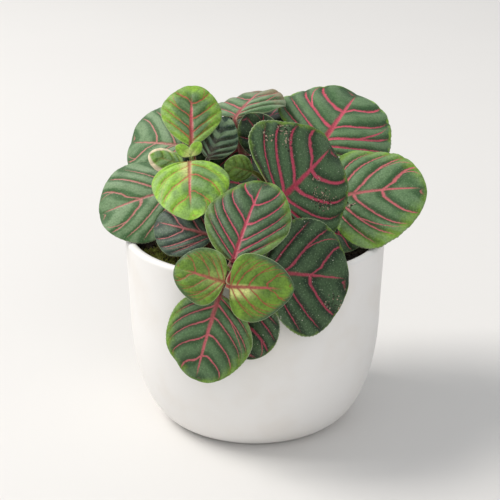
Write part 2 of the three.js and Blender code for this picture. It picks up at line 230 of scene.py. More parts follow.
# Crumbs of soil on leaves: the leaf, the share along its blade and the millimetres across
# it, then the spot's radius, the largest crumb's width and how many crumbs.
LITTER = (
    ("right_front", 0.55, 19.5, 4.6, 1.0, 34),
    ("right_front", 0.46, 15.5, 3.4, 0.9, 20),
    ("right_front", 0.34, 24.0, 2.6, 1.1, 10),
    ("right_front", 0.52, -4.5, 2.6, 1.1, 10),
    ("right_front", 0.44, -13.5, 6.0, 0.95, 44),
    ("right_front", 0.52, -16.0, 4.0, 0.8, 20),
    ("front_right", 0.81, -11.0, 4.5, 0.8, 40),
    ("right_low", 0.22, -5.0, 2.0, 2.2, 2),
)


# ---------------------------------------------------------------------------------------
# Sizes and colours that a user would change
# ---------------------------------------------------------------------------------------


def length(name, text, millimetres):
    size = millimetres * MM
    return FloatProperty(name=name, description=text, default=size, subtype="DISTANCE", unit="LENGTH")


def share(name, text, value, top=1.0):
    return FloatProperty(name=name, description=text, default=value, min=0.0, max=top, subtype="FACTOR")


def power(name, text, watts):
    return FloatProperty(name=name, description=text, default=watts, min=0.0, subtype="POWER", unit="POWER")


def count(name, text, number):
    return IntProperty(name=name, description=text, default=number, min=0)


def colour(name, text, *screen):
    limits = {"size": 3, "min": 0.0, "max": 1.0}
    return FloatVectorProperty(name=name, description=text, default=srgb(*screen), subtype="COLOR", **limits)


class PotSettings(bpy.types.PropertyGroup):
    """The pot's sizes and colour"""

    height: length("Height", "From the foot to the top of the rim", POT_TOP[2] / MM)
    rim_radius: length("Rim Radius", "Outside, at the rim", POT_TOP[0] / MM)
    shoulder_height: length("Shoulder Height", "Where the round bottom meets the wall", 56)
    shoulder_radius: length("Shoulder Radius", "Outside, at the shoulder", 58.6)
    foot_radius: length("Foot Radius", "The flat that the pot stands on", 36)
    curve: FloatProperty(
        name="Curve", description="How square the round bottom is", default=2.15, min=1.0, max=6.0
    )
    wall: length("Wall", "The wall's thickness", 4.2)
    floor: length("Floor", "The floor's thickness", 6)
    glaze: colour("Glaze", "The pot's colour", 229, 227, 224)


class SoilSettings(bpy.types.PropertyGroup):
    """The soil, its crumbs and its moss"""

    height: length("Height", "The soil's surface above the foot", 81)
    relief: length("Relief", "The height of the low mounds", 1.4)
    crumb_size: length("Crumb Size", "The largest crumbs' width", 2.4)
    crumbs: count("Crumbs", "Crumbs for each square metre", 170000)
    tufts: count("Moss Tufts", "Tufts of moss in the patch", 800)
    tuft_length: length("Tuft Length", "The largest tufts of moss", 3.1)
    seed: IntProperty(name="Seed", description="Places the crumbs and the moss", default=7)
    dark: colour("Dark", "Damp soil", 38, 29, 22)
    light: colour("Light", "Dry crumbs", 96, 74, 52)
    moss: colour("Moss", "Moss on the soil", 138, 150, 58)


class StemSettings(bpy.types.PropertyGroup):
    """The stems and their hairs"""

    foot_radius: length("Foot Radius", "A stem's radius in the soil", 2.2)
    tip_radius: length("Tip Radius", "A stem's radius at its growing tip", 1.5)
    petiole_radius: length("Petiole Radius", "A petiole's radius", 1.1)
    hair_length: length("Hair Length", "The down on the stems", 0.7)
    hairs: count("Hairs", "Hairs for each square metre", 900000)
    red: colour("Red", "The sunny side of a stem", 150, 72, 74)
    green: colour("Green", "The shaded side of a stem", 112, 118, 74)


class LeafSettings(bpy.types.PropertyGroup):
    """The leaves' form and colours"""

    thickness: length("Thickness", "A blade's thickness", 0.75)
    pleat: share("Pleat Depth", "Depth of a pleat as a share of the blade's length", 0.017, 0.1)
    ripple: share("Margin Ripple", "Height of the margin's ripple as a share of the width", 0.0225, 0.1)
    pucker: length("Pucker", "Uneven swelling between the veins", 0.28)
    vein: colour("Vein", "Side veins and midrib of a grown leaf", 190, 66, 91)
    vein_dark: colour("Deep Vein", "The midrib near its foot", 150, 30, 54)
    vein_young: colour("Young Vein", "Side veins of a young leaf", 160, 72, 56)
    # Painted shade beside the veins and in the skin's pits; the lower face also has it in blotches.
    deep: colour("Deep Green", "Beside the veins", 26, 46, 27)
    field: colour("Green", "Between the veins", 55, 87, 48)
    blue: colour("Blue Green", "The oldest leaves", 50, 72, 62)
    pale: colour("Pale Green", "Where the skin catches the light", 138, 164, 124)
    lime: colour("Lime", "Young blades", 112, 148, 44)
    glow: colour("Yellow Glow", "Young blades beside the midrib", 220, 224, 138)
    margin: colour("Margin", "The thin edge", 150, 164, 122)
    under: colour("Underside", "The blade's lower face", 126, 138, 108)
    dry: colour("Dry Edge", "A withered margin", 222, 204, 172)


class StageSettings(bpy.types.PropertyGroup):
    """The floor, the lights and the camera"""

    floor_size: length("Floor Size", "Width of the floor", 6000)
    floor: colour("Floor", "The floor's colour", 224, 222, 219)
    sky: colour("Sky", "The colour of the surroundings", 247, 249, 252)
    world: share("Surroundings", "Strength of the pale surroundings", 0.6, 4.0)
    key: power("Key Light", "Power of the large light", 76.0)
    fill: power("Fill Light", "Power of the light across from it", 18.0)
    lens: FloatProperty(
        name="Lens", description="The camera's focal length",
        default=92.88, min=1.0, subtype="DISTANCE_CAMERA", unit="CAMERA",
    )
    pitch: FloatProperty(
        name="Pitch", description="How far the camera looks down",
        default=math.radians(20.3), subtype="ANGLE", unit="ROTATION",
    )


# ---------------------------------------------------------------------------------------
# Node maths
# ---------------------------------------------------------------------------------------


class Value:
    """A socket's value in a node tree. Python expressions on it add Math nodes."""

    def __init__(self, tree, socket):
        self.tree = tree
        self.socket = socket

    def apply(self, operation, *others):
        """A Math node with this value as its first term."""
        node = self.tree.nodes.new("ShaderNodeMath")
        node.operation = operation
        for entry, value in zip(node.inputs, (self, *others)):
            feed(self.tree, entry, value)
        return Value(self.tree, node.outputs[0])

    __add__ = __radd__ = partialmethod(apply, "ADD")
    __mul__ = __rmul__ = partialmethod(apply, "MULTIPLY")
    __sub__ = partialmethod(apply, "SUBTRACT")
    __rsub__ = partialmethod(apply, "MULTIPLY_ADD", -1.0)
    __truediv__ = partialmethod(apply, "DIVIDE")
    __pow__ = partialmethod(apply, "POWER")
    __abs__ = partialmethod(apply, "ABSOLUTE")
    __lt__ = partialmethod(apply, "LESS_THAN")
    __gt__ = partialmethod(apply, "GREATER_THAN")
    sin = partialmethod(apply, "SINE")
    cos = partialmethod(apply, "COSINE")
    sqrt = partialmethod(apply, "SQRT")
    exp = partialmethod(apply, "EXPONENT")
    log = partialmethod(apply, "LOGARITHM", math.e)
    floor = partialmethod(apply, "FLOOR")
    fract = partialmethod(apply, "FRACT")
    least = partialmethod(apply, "MINIMUM")
    most = partialmethod(apply, "MAXIMUM")

    def __rtruediv__(self, other):
        return self.apply("POWER", -1.0) * other

    def smooth(self, low, high):
        """0 below low and 1 above high, with a soft step between."""
        node = self.tree.nodes.new("ShaderNodeMapRange")
        node.interpolation_type = "SMOOTHSTEP"
        for name, value in (("Value", self), ("From Min", low), ("From Max", high)):
            feed(self.tree, node.inputs[name], value)
        return Value(self.tree, node.outputs[0])


def feed(tree, entry, value):
    """Links a value to a socket, or sets the socket to a plain number, colour or vector."""
    if isinstance(value, Value):
        tree.links.new(value.socket, entry)
    elif isinstance(entry.default_value, (int, float, bool, str)) or value is None:
        entry.default_value = value
    else:
        missing = len(entry.default_value) - len(value)
        entry.default_value = (*value, *(1.0,) * missing)


def add_node(tree, kind, settings=None, inputs=None, output=0):
    """One node: its settings first, and then the values or links of its sockets."""
    node = tree.nodes.new(kind)
    for name, value in (settings or {}).items():
        setattr(node, name, value)
    for name, value in (inputs or {}).items():
        feed(tree, node.inputs[name], value)
    return Value(tree, node.outputs[output])


def vector(tree, x, y, z):
    return add_node(tree, "ShaderNodeCombineXYZ", inputs={"X": x, "Y": y, "Z": z})


def parts(tree, value):
    """A vector's three numbers."""
    node = tree.nodes.new("ShaderNodeSeparateXYZ")
    feed(tree, node.inputs[0], value)
    return [Value(tree, socket) for socket in node.outputs]


def vector_math(tree, operation, first, second=None, scale=None):
    """A Vector Math node."""
    terms = {0: first, 1: second, "Scale": scale}
    terms = {entry: value for entry, value in terms.items() if value is not None}
    output = "Value" if operation == "LENGTH" else "Vector"
    return add_node(tree, "ShaderNodeVectorMath", {"operation": operation}, terms, output)


class Finish:
    """A material with one Principled shader, and the nodes that feed it."""

    def __init__(self, name, **constants):
        self.material = bpy.data.materials.new(name)
        self.material.use_nodes = True
        self.tree = self.material.node_tree
        self.tree.nodes.clear()
        self.shader = self.tree.nodes.new("ShaderNodeBsdfPrincipled")
        surface = self.tree.nodes.new("ShaderNodeOutputMaterial")
        self.tree.links.new(self.shader.outputs[0], surface.inputs["Surface"])
        self.place = self.node("ShaderNodeTexCoord", output="Object")
        for entry, value in constants.items():
            feed(self.tree, self.shader.inputs[entry.replace("_", " ")], value)

    def node(self, kind, settings=None, inputs=None, output=0):
        return add_node(self.tree, kind, settings, inputs, output)

    def set(self, entry, value):
        feed(self.tree, self.shader.inputs[entry], value)

    def noise(self, size, detail, roughness=0.5):
        """Smooth noise whose features are about this many millimetres wide."""
        inputs = {"Vector": self.place, "Scale": 1 / (size * MM), "Detail": detail, "Roughness": roughness}
        return self.node("ShaderNodeTexNoise", inputs=inputs)

    def cells(self, size):
        """The distance from the nearest middle of cells this many millimetres wide."""
        inputs = {"Vector": self.place, "Scale": 1 / (size * MM)}
        return self.node("ShaderNodeTexVoronoi", inputs=inputs, output="Distance")

    def mix(self, first, second, factor):
        """A colour between two. The node has its factor, colours and result at these places."""
        return self.node("ShaderNodeMix", {"data_type": "RGBA"}, {0: factor, 6: first, 7: second}, 2)

    def attribute(self, name):
        """The three parts of a vector that the mesh keeps."""
        kept = self.node("ShaderNodeAttribute", {"attribute_name": name}, output="Vector")
        return parts(self.tree, kept)

    def chance(self, first, second):
        """A fixed draw from 0 to 1 for each pair of whole numbers."""
        pair = {"Vector": vector(self.tree, first, second, 0.0)}
        return self.node("ShaderNodeTexWhiteNoise", {"noise_dimensions": "3D"}, pair, "Value")

    def bump(self, height, strength, distance):
        """Raises the surface where height is 1, by at most this many millimetres."""
        inputs = {"Height": height, "Strength": strength, "Distance": distance * MM}
        self.set("Normal", self.node("ShaderNodeBump", inputs=inputs))


# ---------------------------------------------------------------------------------------
# Meshes
# ---------------------------------------------------------------------------------------


def link(name, mesh):
    piece = bpy.data.objects.new(name, mesh)
    bpy.context.scene.collection.objects.link(piece)
    return piece


def own(piece, slot, *nodes):
    """Hands a finished piece to the frame: its body and the nodes it stands for. The slot is not used."""
    if not piece.data.polygons:
        raise RuntimeError(f"{piece.name} has no faces")
    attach(piece, BODY)
    if nodes:
        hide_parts(*nodes)


def mesh_from(name, points, faces, material, smooth=True):
    mesh = bpy.data.meshes.new(name)
    mesh.from_pydata([tuple(point) for point in points], [], faces)
    mesh.polygons.foreach_set("use_smooth", [smooth] * len(mesh.polygons))
    mesh.materials.append(material)
    mesh.validate()
    return link(name, mesh)


def plain(piece, name):
    """Turns a piece with a node modifier into a plain mesh of that name, and drops the old one."""
    graph = bpy.context.evaluated_depsgraph_get()
    mesh = bpy.data.meshes.new_from_object(piece.evaluated_get(graph))
    bpy.data.objects.remove(piece, do_unlink=True)
    mesh.name = name
    return link(name, mesh)


def joined(name, pieces):
    """One piece made of several, whose attributes are kept."""
    first = {"active_object": pieces[0], "object": pieces[0]}
    with bpy.context.temp_override(selected_objects=pieces, selected_editable_objects=pieces, **first):
        bpy.ops.object.join()
    pieces[0].name = name
    pieces[0].data.name = name
    return pieces[0]


def turned(name, profile, sides, material, lift=None):
    """A closed piece of revolution. The profile's ends lie on the axis."""
    points = []
    rings = []
    for radius, height in profile:
        if radius == 0:
            rings.append([len(points)])
            points.append((0.0, 0.0, height))
            continue
        rings.append(list(range(len(points), len(points) + sides)))
        for k in range(sides):
            turn = 2 * math.pi * k / sides
            points.append((radius * math.cos(turn), radius * math.sin(turn), height))
    if lift:
        points = [lift(*point) for point in points]
    faces = []
    for low, high in zip(rings, rings[1:]):
        for k in range(sides):
            after = (k + 1) % sides
            if len(low) == 1:
                faces.append((low[0], high[after], high[k]))
            elif len(high) == 1:
                faces.append((low[k], low[after], high[0]))
            else:
                faces.append((low[k], low[after], high[after], high[k]))
    return mesh_from(name, points, faces, material)


class StemCurve:
    """A centripetal curve through a stem's points, read by its share of the whole length."""

    STEPS = 200

    def __init__(self, path):
        knots = [Vector(point) * MM for point in path]
        self.knots = [knots[0] * 2 - knots[1], *knots, knots[-1] * 2 - knots[-2]]
        samples = [self.raw(i / self.STEPS) for i in range(self.STEPS + 1)]
        self.lengths = [0.0]
        for before, after in zip(samples, samples[1:]):
            self.lengths.append(self.lengths[-1] + (after - before).length)

    def raw(self, share):
        spans = len(self.knots) - 3
        span = min(int(share * spans), spans - 1)
        weight = share * spans - span
        p0, p1, p2, p3 = self.knots[span:span + 4]
        d0, d1, d2 = (math.sqrt((b - a).length) for a, b in ((p0, p1), (p1, p2), (p2, p3)))
        t1 = ((p1 - p0) / d0 - (p2 - p0) / (d0 + d1) + (p2 - p1) / d1) * d1
        t2 = ((p2 - p1) / d1 - (p3 - p1) / (d1 + d2) + (p3 - p2) / d2) * d1
        square = (p2 - p1) * 3 - t1 * 2 - t2
        cube = (p1 - p2) * 2 + t1 + t2
        return p1 + t1 * weight + square * weight ** 2 + cube * weight ** 3

    def share_at(self, length_share):
        target = length_share * self.lengths[-1]
        return float(np.interp(target, self.lengths, np.linspace(0, 1, self.STEPS + 1)))

    def point(self, length_share):
        return self.raw(self.share_at(length_share))

    def tangent(self, length_share):
        share = self.share_at(length_share)
        low, high = max(0.0, share - 1e-4), min(1.0, share + 1e-4)
        return (self.raw(high) - self.raw(low)).normalized()


def stem_radius(settings, share):
    return settings.foot_radius + (settings.tip_radius - settings.foot_radius) * share


# ---------------------------------------------------------------------------------------
# The leaf: one tree of nodes for all blades
# ---------------------------------------------------------------------------------------

LEAF_INPUTS = (
    ("Around", "NodeSocketInt", FINE_GRID[0]),
    ("Petiole Rows", "NodeSocketInt", FINE_GRID[1]),
    ("Rows", "NodeSocketInt", FINE_GRID[2]),
    ("Length", "NodeSocketFloat", 0.04),
    ("Width", "NodeSocketFloat", 0.04),
    ("Bend", "NodeSocketFloat", 0.3),
    ("Arch", "NodeSocketFloat", 0.55),
    ("Gutter", "NodeSocketFloat", 0.12),
    ("Fullness", "NodeSocketFloat", 1.0),
    ("Pleat", "NodeSocketFloat", 0.0006),
    ("Ripple", "NodeSocketFloat", 0.0009),
    ("Pucker", "NodeSocketFloat", 0.0002),
    ("Veins", "NodeSocketFloat", 5.0),
    ("Vein Root", "NodeSocketFloat", 1.7),
    ("Vein Reach", "NodeSocketFloat", 0.5),
    ("Vein Bow", "NodeSocketFloat", 1.0),
    ("Shift", "NodeSocketFloat", 0.16),
    ("Phase", "NodeSocketFloat", 0.0),
    ("Notch", "NodeSocketVector", (0.5, 0.0, 1.0)),
    ("Thickness", "NodeSocketFloat", 0.00075),
    ("Petiole Radius", "NodeSocketFloat", 0.0011),
    ("Foot", "NodeSocketVector", (0, 0, 0)),
    ("Outward", "NodeSocketVector", (1, 0, 0)),
    ("At", "NodeSocketVector", (0, 0, 0)),
    ("Turn", "NodeSocketVector", (0, 0, 0)),
    ("Material", "NodeSocketMaterial", None),
)


def new_tree(name, inputs):
    """An empty tree with these named inputs and one geometry output."""
    tree = bpy.data.node_groups.new(name, "GeometryNodeTree")
    tree.interface.new_socket(name="Geometry", in_out="INPUT", socket_type="NodeSocketGeometry")
    for label, kind, default in inputs:
        socket = tree.interface.new_socket(name=label, in_out="INPUT", socket_type=kind)
        if default is not None:
            socket.default_value = default
    tree.interface.new_socket(name="Geometry", in_out="OUTPUT", socket_type="NodeSocketGeometry")
    entry = tree.nodes.new("NodeGroupInput")
    return tree, {socket.name: Value(tree, socket) for socket in entry.outputs if socket.name}


def end_tree(tree, geometry):
    tree.links.new(geometry.socket, tree.nodes.new("NodeGroupOutput").inputs[0])
    return tree


def store(tree, geometry, name, value):
    """Keeps a vector at each point of the mesh, for the materials."""
    settings = {"data_type": "FLOAT_VECTOR", "domain": "POINT"}
    inputs = {"Geometry": geometry, "Name": name, "Value": value}
    return add_node(tree, "GeometryNodeStoreNamedAttribute", settings, inputs)


def leaf_tree():
    """A leaf grown from a grid: round its petiole and blade one way, foot to tip the other."""
    tree, given = new_tree("leaf", LEAF_INPUTS)
    around, stalk_rows, rows = given["Around"], given["Petiole Rows"], given["Rows"]
    grid_inputs = {"Size X": 1.0, "Size Y": 1.0, "Vertices X": around + 1, "Vertices Y": rows + 1}
    grid = add_node(tree, "GeometryNodeMeshGrid", inputs=grid_inputs)
    grid_x, grid_y, _ = parts(tree, add_node(tree, "GeometryNodeInputPosition"))
    loop = grid_x + 0.5
    row = (grid_y + 0.5) * rows

    # Over the upper face from the left margin to the right one, and back underneath. The
    # columns crowd at the midrib and at the margins.
    on_top = loop < 0.5
    face = on_top * 2 - 1
    swing = abs(1 - loop * 2) * 2 - 1
    size = abs(swing)
    spread_out = size * 0.3 + size * size * (3 - size * 2) * 0.7
    t = spread_out * ((swing > 0) * 2 - 1)
    edge = abs(t)

    # How far along the petiole, and then along the blade, whose rows crowd at both ends.
    stalk = ((row - 1) / (stalk_rows - 1)).least(1.0).most(0.0)
    x = ((row - stalk_rows) / (rows - stalk_rows)).least(1.0).most(0.0)
    s = (x * 0.35 + (1 - (x * math.pi).cos()) * 0.325).least(1.0)
    in_blade = row > stalk_rows - 0.5

    # The outline, with its waves and one notch. A blade narrows to its petiole's width.
    power = ROW_AT_MIDRIB - edge ** ROW_CURVE * (ROW_AT_MIDRIB - ROW_AT_MARGIN)
    along = s ** power
    whole, width, bend = given["Length"], given["Width"], given["Bend"]
    turn = bend * along
    left = t > 0
    outline = (along ** given["Fullness"] * math.pi).sin().most(0.0) ** OUTLINE_POWER
    broad_wave = (along * BROAD_WAVE[1] + given["Phase"] + (1 - left) * 2.1).sin()
    wave = 1 + BROAD_WAVE[0] * broad_wave + FINE_WAVE[0] * (along * FINE_WAVE[1]).sin()
    notch_along, notch_depth, notch_side = parts(tree, given["Notch"])
    notch = (0 - ((along - notch_along) / NOTCH_LENGTH) ** 2).exp()
    wave = wave * (1 - notch_depth * (t * notch_side > 0) * notch)
    flesh = given["Petiole Radius"] * (1 - along) ** 3
    half = ((width * 0.5 * outline * wave) ** 2 + flesh ** 2).sqrt()
    across = t * half
    curl = given["Arch"] / (width * 0.5)

    # Pleats with narrow valleys along the side veins, which leave the midrib in turn.
    near_foot = along.most(1e-4)
    inward = 1 - edge
    vein_bow, vein_sweep = given["Vein Bow"], given["Vein Root"] - given["Vein Reach"]
    bow = given["Vein Reach"] + vein_sweep * inward ** vein_bow
    passed = near_foot ** (1 / bow)
    phase = given["Veins"] * passed + given["Shift"] * (t / MIDRIB_SHARE).least(1.0).most(-1.0)
    lean = vein_sweep * vein_bow * inward.most(0.02) ** (vein_bow - 1)
    slope_x = passed / (bow * near_foot * whole)
    slope_y = passed * near_foot.log() * lean / (bow * bow * half)
    spacing = 1 / ((slope_x * slope_x + slope_y * slope_y).sqrt() * given["Veins"].most(1.0)).most(1.0)
    cushion = 2 * abs((phase * math.pi).sin()) ** CUSHION_POWER - 1
    relief = (edge * 2.2).least(1.0) * (1 - 0.55 * edge * edge)
    relief = relief * ((1 - s) * 6).least(1.0) * (spacing / FULL_SPACING).least(1.2)
    pleat = given["Pleat"] * cushion * relief
    ripple_wave = (along * RIPPLE_TURNS + given["Phase"] + (1 - left) * 1.7).sin()
    ripple = given["Ripple"] * edge * edge * ripple_wave
    ripple = ripple * (along * 3).least(1.0) * ((1 - s) * 20).least(1.0)
    groove = given["Petiole Radius"] * -GROOVE_DEPTH * (0 - (across / GROOVE_WIDTH) ** 2).exp() * (1 - along)
    spot = vector(tree, along * whole, across, given["Phase"])
    swell = add_node(tree, "ShaderNodeTexNoise", inputs={"Vector": spot, "Scale": SWELL_SCALE, "Detail": 2.0})
    pucker = (swell - 0.5) * 2 * given["Pucker"] * relief
    drop = (1 - (curl * across).cos()) / curl
    rise = pleat + ripple + groove + pucker - drop + given["Gutter"] * abs(across)

    # The skin: rounded at the margin, where both faces meet, with a keel under the midrib.
    rounded = (1 - edge ** ROUND_MARGIN).most(0.0).sqrt() * (1 - s ** ROUND_TIP).most(0.0).sqrt()
    skin = given["Thickness"] * 0.5 * rounded
    keel = given["Petiole Radius"] * (1 - s) ** 1.5 * (0 - (across / KEEL_WIDTH) ** 2).exp() * (1 - edge ** 8)
    offset = skin * face - keel * (1 - on_top)
    height = rise + offset
    blade_x = whole * turn.sin() / bend + turn.sin() * height
    blade_y = (curl * across).sin() / curl
    blade_z = turn.cos() * height - whole * (1 - turn.cos()) / bend
    blade_place = vector(tree, blade_x, blade_y, blade_z)

    def scaled(direction, scale):
        return vector_math(tree, "SCALE", direction, scale=scale)

    def total(first, *others):
        for other in others:
            first = vector_math(tree, "ADD", first, other)
        return first

    # The petiole's middle line leaves the stem squarely and runs into the midrib.
    foot, outward = given["Foot"], given["Outward"]
    reach = vector_math(tree, "LENGTH", foot)
    square, cube = stalk * stalk, stalk * stalk * stalk
    middle = total(
        scaled(foot, 2 * cube - 3 * square + 1),
        scaled(outward, reach * (cube - 2 * square + stalk)),
        vector(tree, reach * (cube - square), 0.0, 0.0),
    )
    ahead = total(
        scaled(foot, 6 * square - 6 * stalk),
        scaled(outward, reach * (3 * square - 4 * stalk + 1)),
        vector(tree, reach * (3 * square - 2 * stalk), 0.0, 0.0),
    )
    ahead = vector_math(tree, "NORMALIZE", ahead)
    side = vector_math(tree, "SUBTRACT", (0, 1, 0), scaled(ahead, parts(tree, ahead)[1]))
    side = vector_math(tree, "NORMALIZE", side)
    up = vector_math(tree, "CROSS_PRODUCT", ahead, side)
    merge = stalk * stalk * (3 - 2 * stalk)
    round_height = (1 - t * t).most(0.0).sqrt() * given["Petiole Radius"] * face
    ring_height = (round_height * (1 - merge) + height * merge) * row.least(1.0)
    ring_side = t * given["Petiole Radius"] * row.least(1.0)
    stalk_place = total(middle, scaled(side, ring_side), scaled(up, ring_height))

    places = {"Switch": in_blade, "False": stalk_place, "True": blade_place}
    place = add_node(tree, "GeometryNodeSwitch", {"input_type": "VECTOR"}, places)

    # What the materials read: the side veins' count and spacing in millimetres, the place
    # on the blade, and the face.
    geometry = store(tree, grid, "vein", vector(tree, phase, spacing / MM, given["Phase"] + left * 31))
    geometry = store(tree, geometry, "blade", vector(tree, along, across / MM, (half - abs(across)) / MM))
    geometry = store(tree, geometry, "face", vector(tree, on_top, edge, stalk))
    for kind, inputs in (
        ("SetPosition", {"Position": place}),
        ("MergeByDistance", {"Distance": 2e-6}),
        ("Transform", {"Translation": given["At"], "Rotation": given["Turn"]}),
        ("SetShadeSmooth", {"Shade Smooth": True}),
        ("SetMaterial", {"Material": given["Material"]}),
    ):
        geometry = add_node(tree, "GeometryNode" + kind, inputs={"Geometry": geometry, **inputs})
    return end_tree(tree, geometry)


def grow(name, tree, values, mesh=None):
    """Runs a tree with these named inputs, and gives the plain mesh that it makes."""
    piece = link(name + "_grown", mesh or bpy.data.meshes.new(name + "_seed"))
    modifier = piece.modifiers.new("Grow", "NODES")
    modifier.node_group = tree
    for item in tree.interface.items_tree:
        if item.item_type == "SOCKET" and item.in_out == "INPUT" and item.name in values:
            modifier[item.identifier] = values[item.name]
    return plain(piece, name)


def leaf_piece(name, tree, plant, form, place, stalk, finish):
    """One leaf. Its form is the blade's (length, width, bend) and its look, its place is where
    the blade begins and its turn, its stalk is where the petiole begins and which way it
    leaves, and its finish is its number, its material and whether its mesh is fine."""
    (size, width, bend), extra = form
    veins, sweep = extra["veins"], extra["sweep"]
    at, (heading, rise, roll) = place
    foot, outward = stalk
    number, material, fine = finish
    turn = Euler((math.radians(roll), math.radians(-rise), math.radians(heading)), "XYZ")
    home = turn.to_matrix().inverted()
    around, petiole_rows, rows = FINE_GRID if fine else COARSE_GRID
    values = {
        "Around": around,
        "Petiole Rows": petiole_rows,
        "Rows": rows,
        "Length": size * MM,
        "Width": width * MM,
        "Bend": math.radians(bend),
        "Arch": extra.get("arch", 0.55),
        "Gutter": extra.get("gutter", 0.12),
        "Fullness": extra.get("fullness", 1.0),
        "Pleat": plant.leaf.pleat * size * MM * extra.get("pleat", 1.0) if veins else 0.0,
        "Ripple": plant.leaf.ripple * width * MM,
        "Pucker": plant.leaf.pucker if width > 10 else 0.0,
        "Veins": float(veins),
        "Vein Root": sweep[0],
        "Vein Reach": sweep[1],
        "Vein Bow": sweep[2],
        "Notch": extra.get("notch", (0.5, 0.0, 1.0)),
        "Shift": 0.16 if number % 2 else -0.16,
        "Phase": 1.9 * number,
        "Thickness": plant.leaf.thickness,
        "Petiole Radius": plant.stem.petiole_radius * extra.get("petiole", 1.0),
        "Foot": tuple(home @ (foot - at)),
        "Outward": tuple(home @ outward),
        "At": tuple(at),
        "Turn": tuple(turn),
        "Material": material,
    }
    return grow(name, tree, values)


# ---------------------------------------------------------------------------------------
# Finishes
# ---------------------------------------------------------------------------------------


def ceramic_finish(settings):
    """Matt white glaze with a faint unevenness from the wheel."""
    finish = Finish("white_glaze", Coat_Weight=0.12, Coat_Roughness=0.35)
    clouds = finish.noise(18, 3)
    grain = finish.noise(0.7, 2)
    warm = tuple(part * tone for part, tone in zip(settings.glaze, (0.97, 0.955, 0.935)))
    finish.set("Base Color", finish.mix(settings.glaze, warm, clouds.smooth(0.4, 0.75)))
    finish.set("Roughness", 0.46 + 0.12 * clouds + 0.05 * grain)
    finish.bump(clouds * 0.6 + grain * 0.12, 0.35, 0.25)
    return finish.material


def soil_finish(settings):
    """Damp potting soil, darker in its hollows, with dry specks."""
    finish = Finish("potting_soil")
    lumps = finish.noise(2.6, 4, 0.65)
    patches = finish.noise(14, 2)
    fibres = finish.cells(1.3)
    tone = finish.mix(settings.dark, settings.light, lumps.smooth(0.45, 0.85))
    tone = finish.mix(tone, (0.006, 0.005, 0.004), (0.5 - patches).most(0.0) * 1.6)
    tone = finish.mix(tone, settings.light, fibres.smooth(0.25, 0.05) * 0.35)
    finish.set("Base Color", tone)
    finish.set("Roughness", 0.78 + 0.2 * lumps)
    finish.bump(lumps + fibres * 0.4, 0.9, 0.8)
    return finish.material


def crumb_finish(settings):
    """Crumbs of bark and peat, each a little different."""
    finish = Finish("soil_crumbs")
    tone = finish.noise(3.1, 1)
    grain = finish.noise(0.5, 3)
    light = (tone * 1.2 + grain * 0.5 - 0.35).smooth(0.3, 0.9)
    finish.set("Base Color", finish.mix(settings.dark, settings.light, light))
    finish.set("Roughness", 0.8 + 0.15 * grain)
    finish.bump(grain, 0.8, 0.2)
    return finish.material


def litter_finish(settings):
    """Crumbs on the leaves: some dark and damp, some pale and dry."""
    finish = Finish("leaf_litter")
    draw = finish.noise(1.4, 0)
    grain = finish.noise(0.4, 2)
    pale = finish.mix(settings.light, srgb(222, 198, 174), grain)
    finish.set("Base Color", finish.mix(settings.dark, pale, draw.smooth(0.44, 0.56)))
    finish.set("Roughness", 0.8 + 0.15 * grain)
    finish.bump(grain, 0.8, 0.15)
    return finish.material


def moss_finish(settings):
    """Moss that browns in places."""
    finish = Finish("moss")
    patches = finish.noise(5, 2)
    grain = finish.noise(0.6, 2)
    tone = finish.mix(settings.moss, srgb(104, 84, 42), patches.smooth(0.42, 0.68))
    finish.set("Base Color", finish.mix(tone, srgb(206, 208, 118), grain.smooth(0.5, 0.7) * 0.8))
    finish.set("Roughness", 0.7 + 0.2 * grain)
    return finish.material


def stem_finish(settings):
    """Downy stem, red where the light falls and green below."""
    finish = Finish("stem_skin", Sheen_Weight=0.145, Sheen_Roughness=0.4)
    streaks = finish.noise(4, 3)
    fine = finish.noise(0.5, 2)
    sunny = (streaks + fine * 0.2).smooth(0.4, 0.7)
    finish.set("Base Color", finish.mix(settings.green, settings.red, sunny))
    finish.set("Roughness", 0.5 + 0.2 * fine)
    finish.bump(fine, 0.5, 0.12)
    return finish.material


def down_finish():
    """Pale hairs."""
    finish = Finish("pale_down")
    tone = finish.noise(6, 1)
    finish.set("Base Color", finish.mix(srgb(196, 176, 158), srgb(226, 214, 198), tone))
    finish.set("Roughness", 0.5 + 0.1 * tone)
    return finish.material


# A side vein may fork at this share of the way from the midrib to the margin.
FORK_AT = 0.42

# What a look gives unless it says otherwise. Side veins: their number on each side, and
# their sweep (the power of their start along the midrib, that at the margin, and how soon
# they bend forwards). In millimetres: half widths of side veins and midrib, and how far
# lime reaches in from the margin. The rest are shares. One share scales all of a look's colours:
# partly the leaf's own tone, partly painted light and shade, higher on leaves that catch the
# light and lower on those in shade. Others set the painted shade beside the veins and the
# painted highlight on the cushions.
PLAIN_LOOK = dict(
    young=False, veins=5, sweep=(1.8, 0.55, 1.0), width=0.6, rib=0.95, lime=0.0, field="field",
    shade=1.0, pale=0.5, stray=0.1, forks=0.34, strength=1.0, muted=0.0, depth=1.0, wine=0.35,
    bronze=0.0, heart=0.0, glow=0.0, side=0.0, rim=0.0, dry=0.0, specks=0.5, dust=0.0, gloss=0.0,
)
HALF_GROWN = dict(
    veins=6, width=0.5, rib=1.0, sweep=(2.1, 0.42, 1.3), lime=6.0, forks=0.15, pale=0.4,
    specks=0.35,
)
YOUNG_TIP = dict(
    young=True, width=0.42, rib=0.85, sweep=(2.4, 0.5, 1.3), stray=0.26, forks=0.6, heart=0.3,
    pale=0.0, specks=0.15,
)
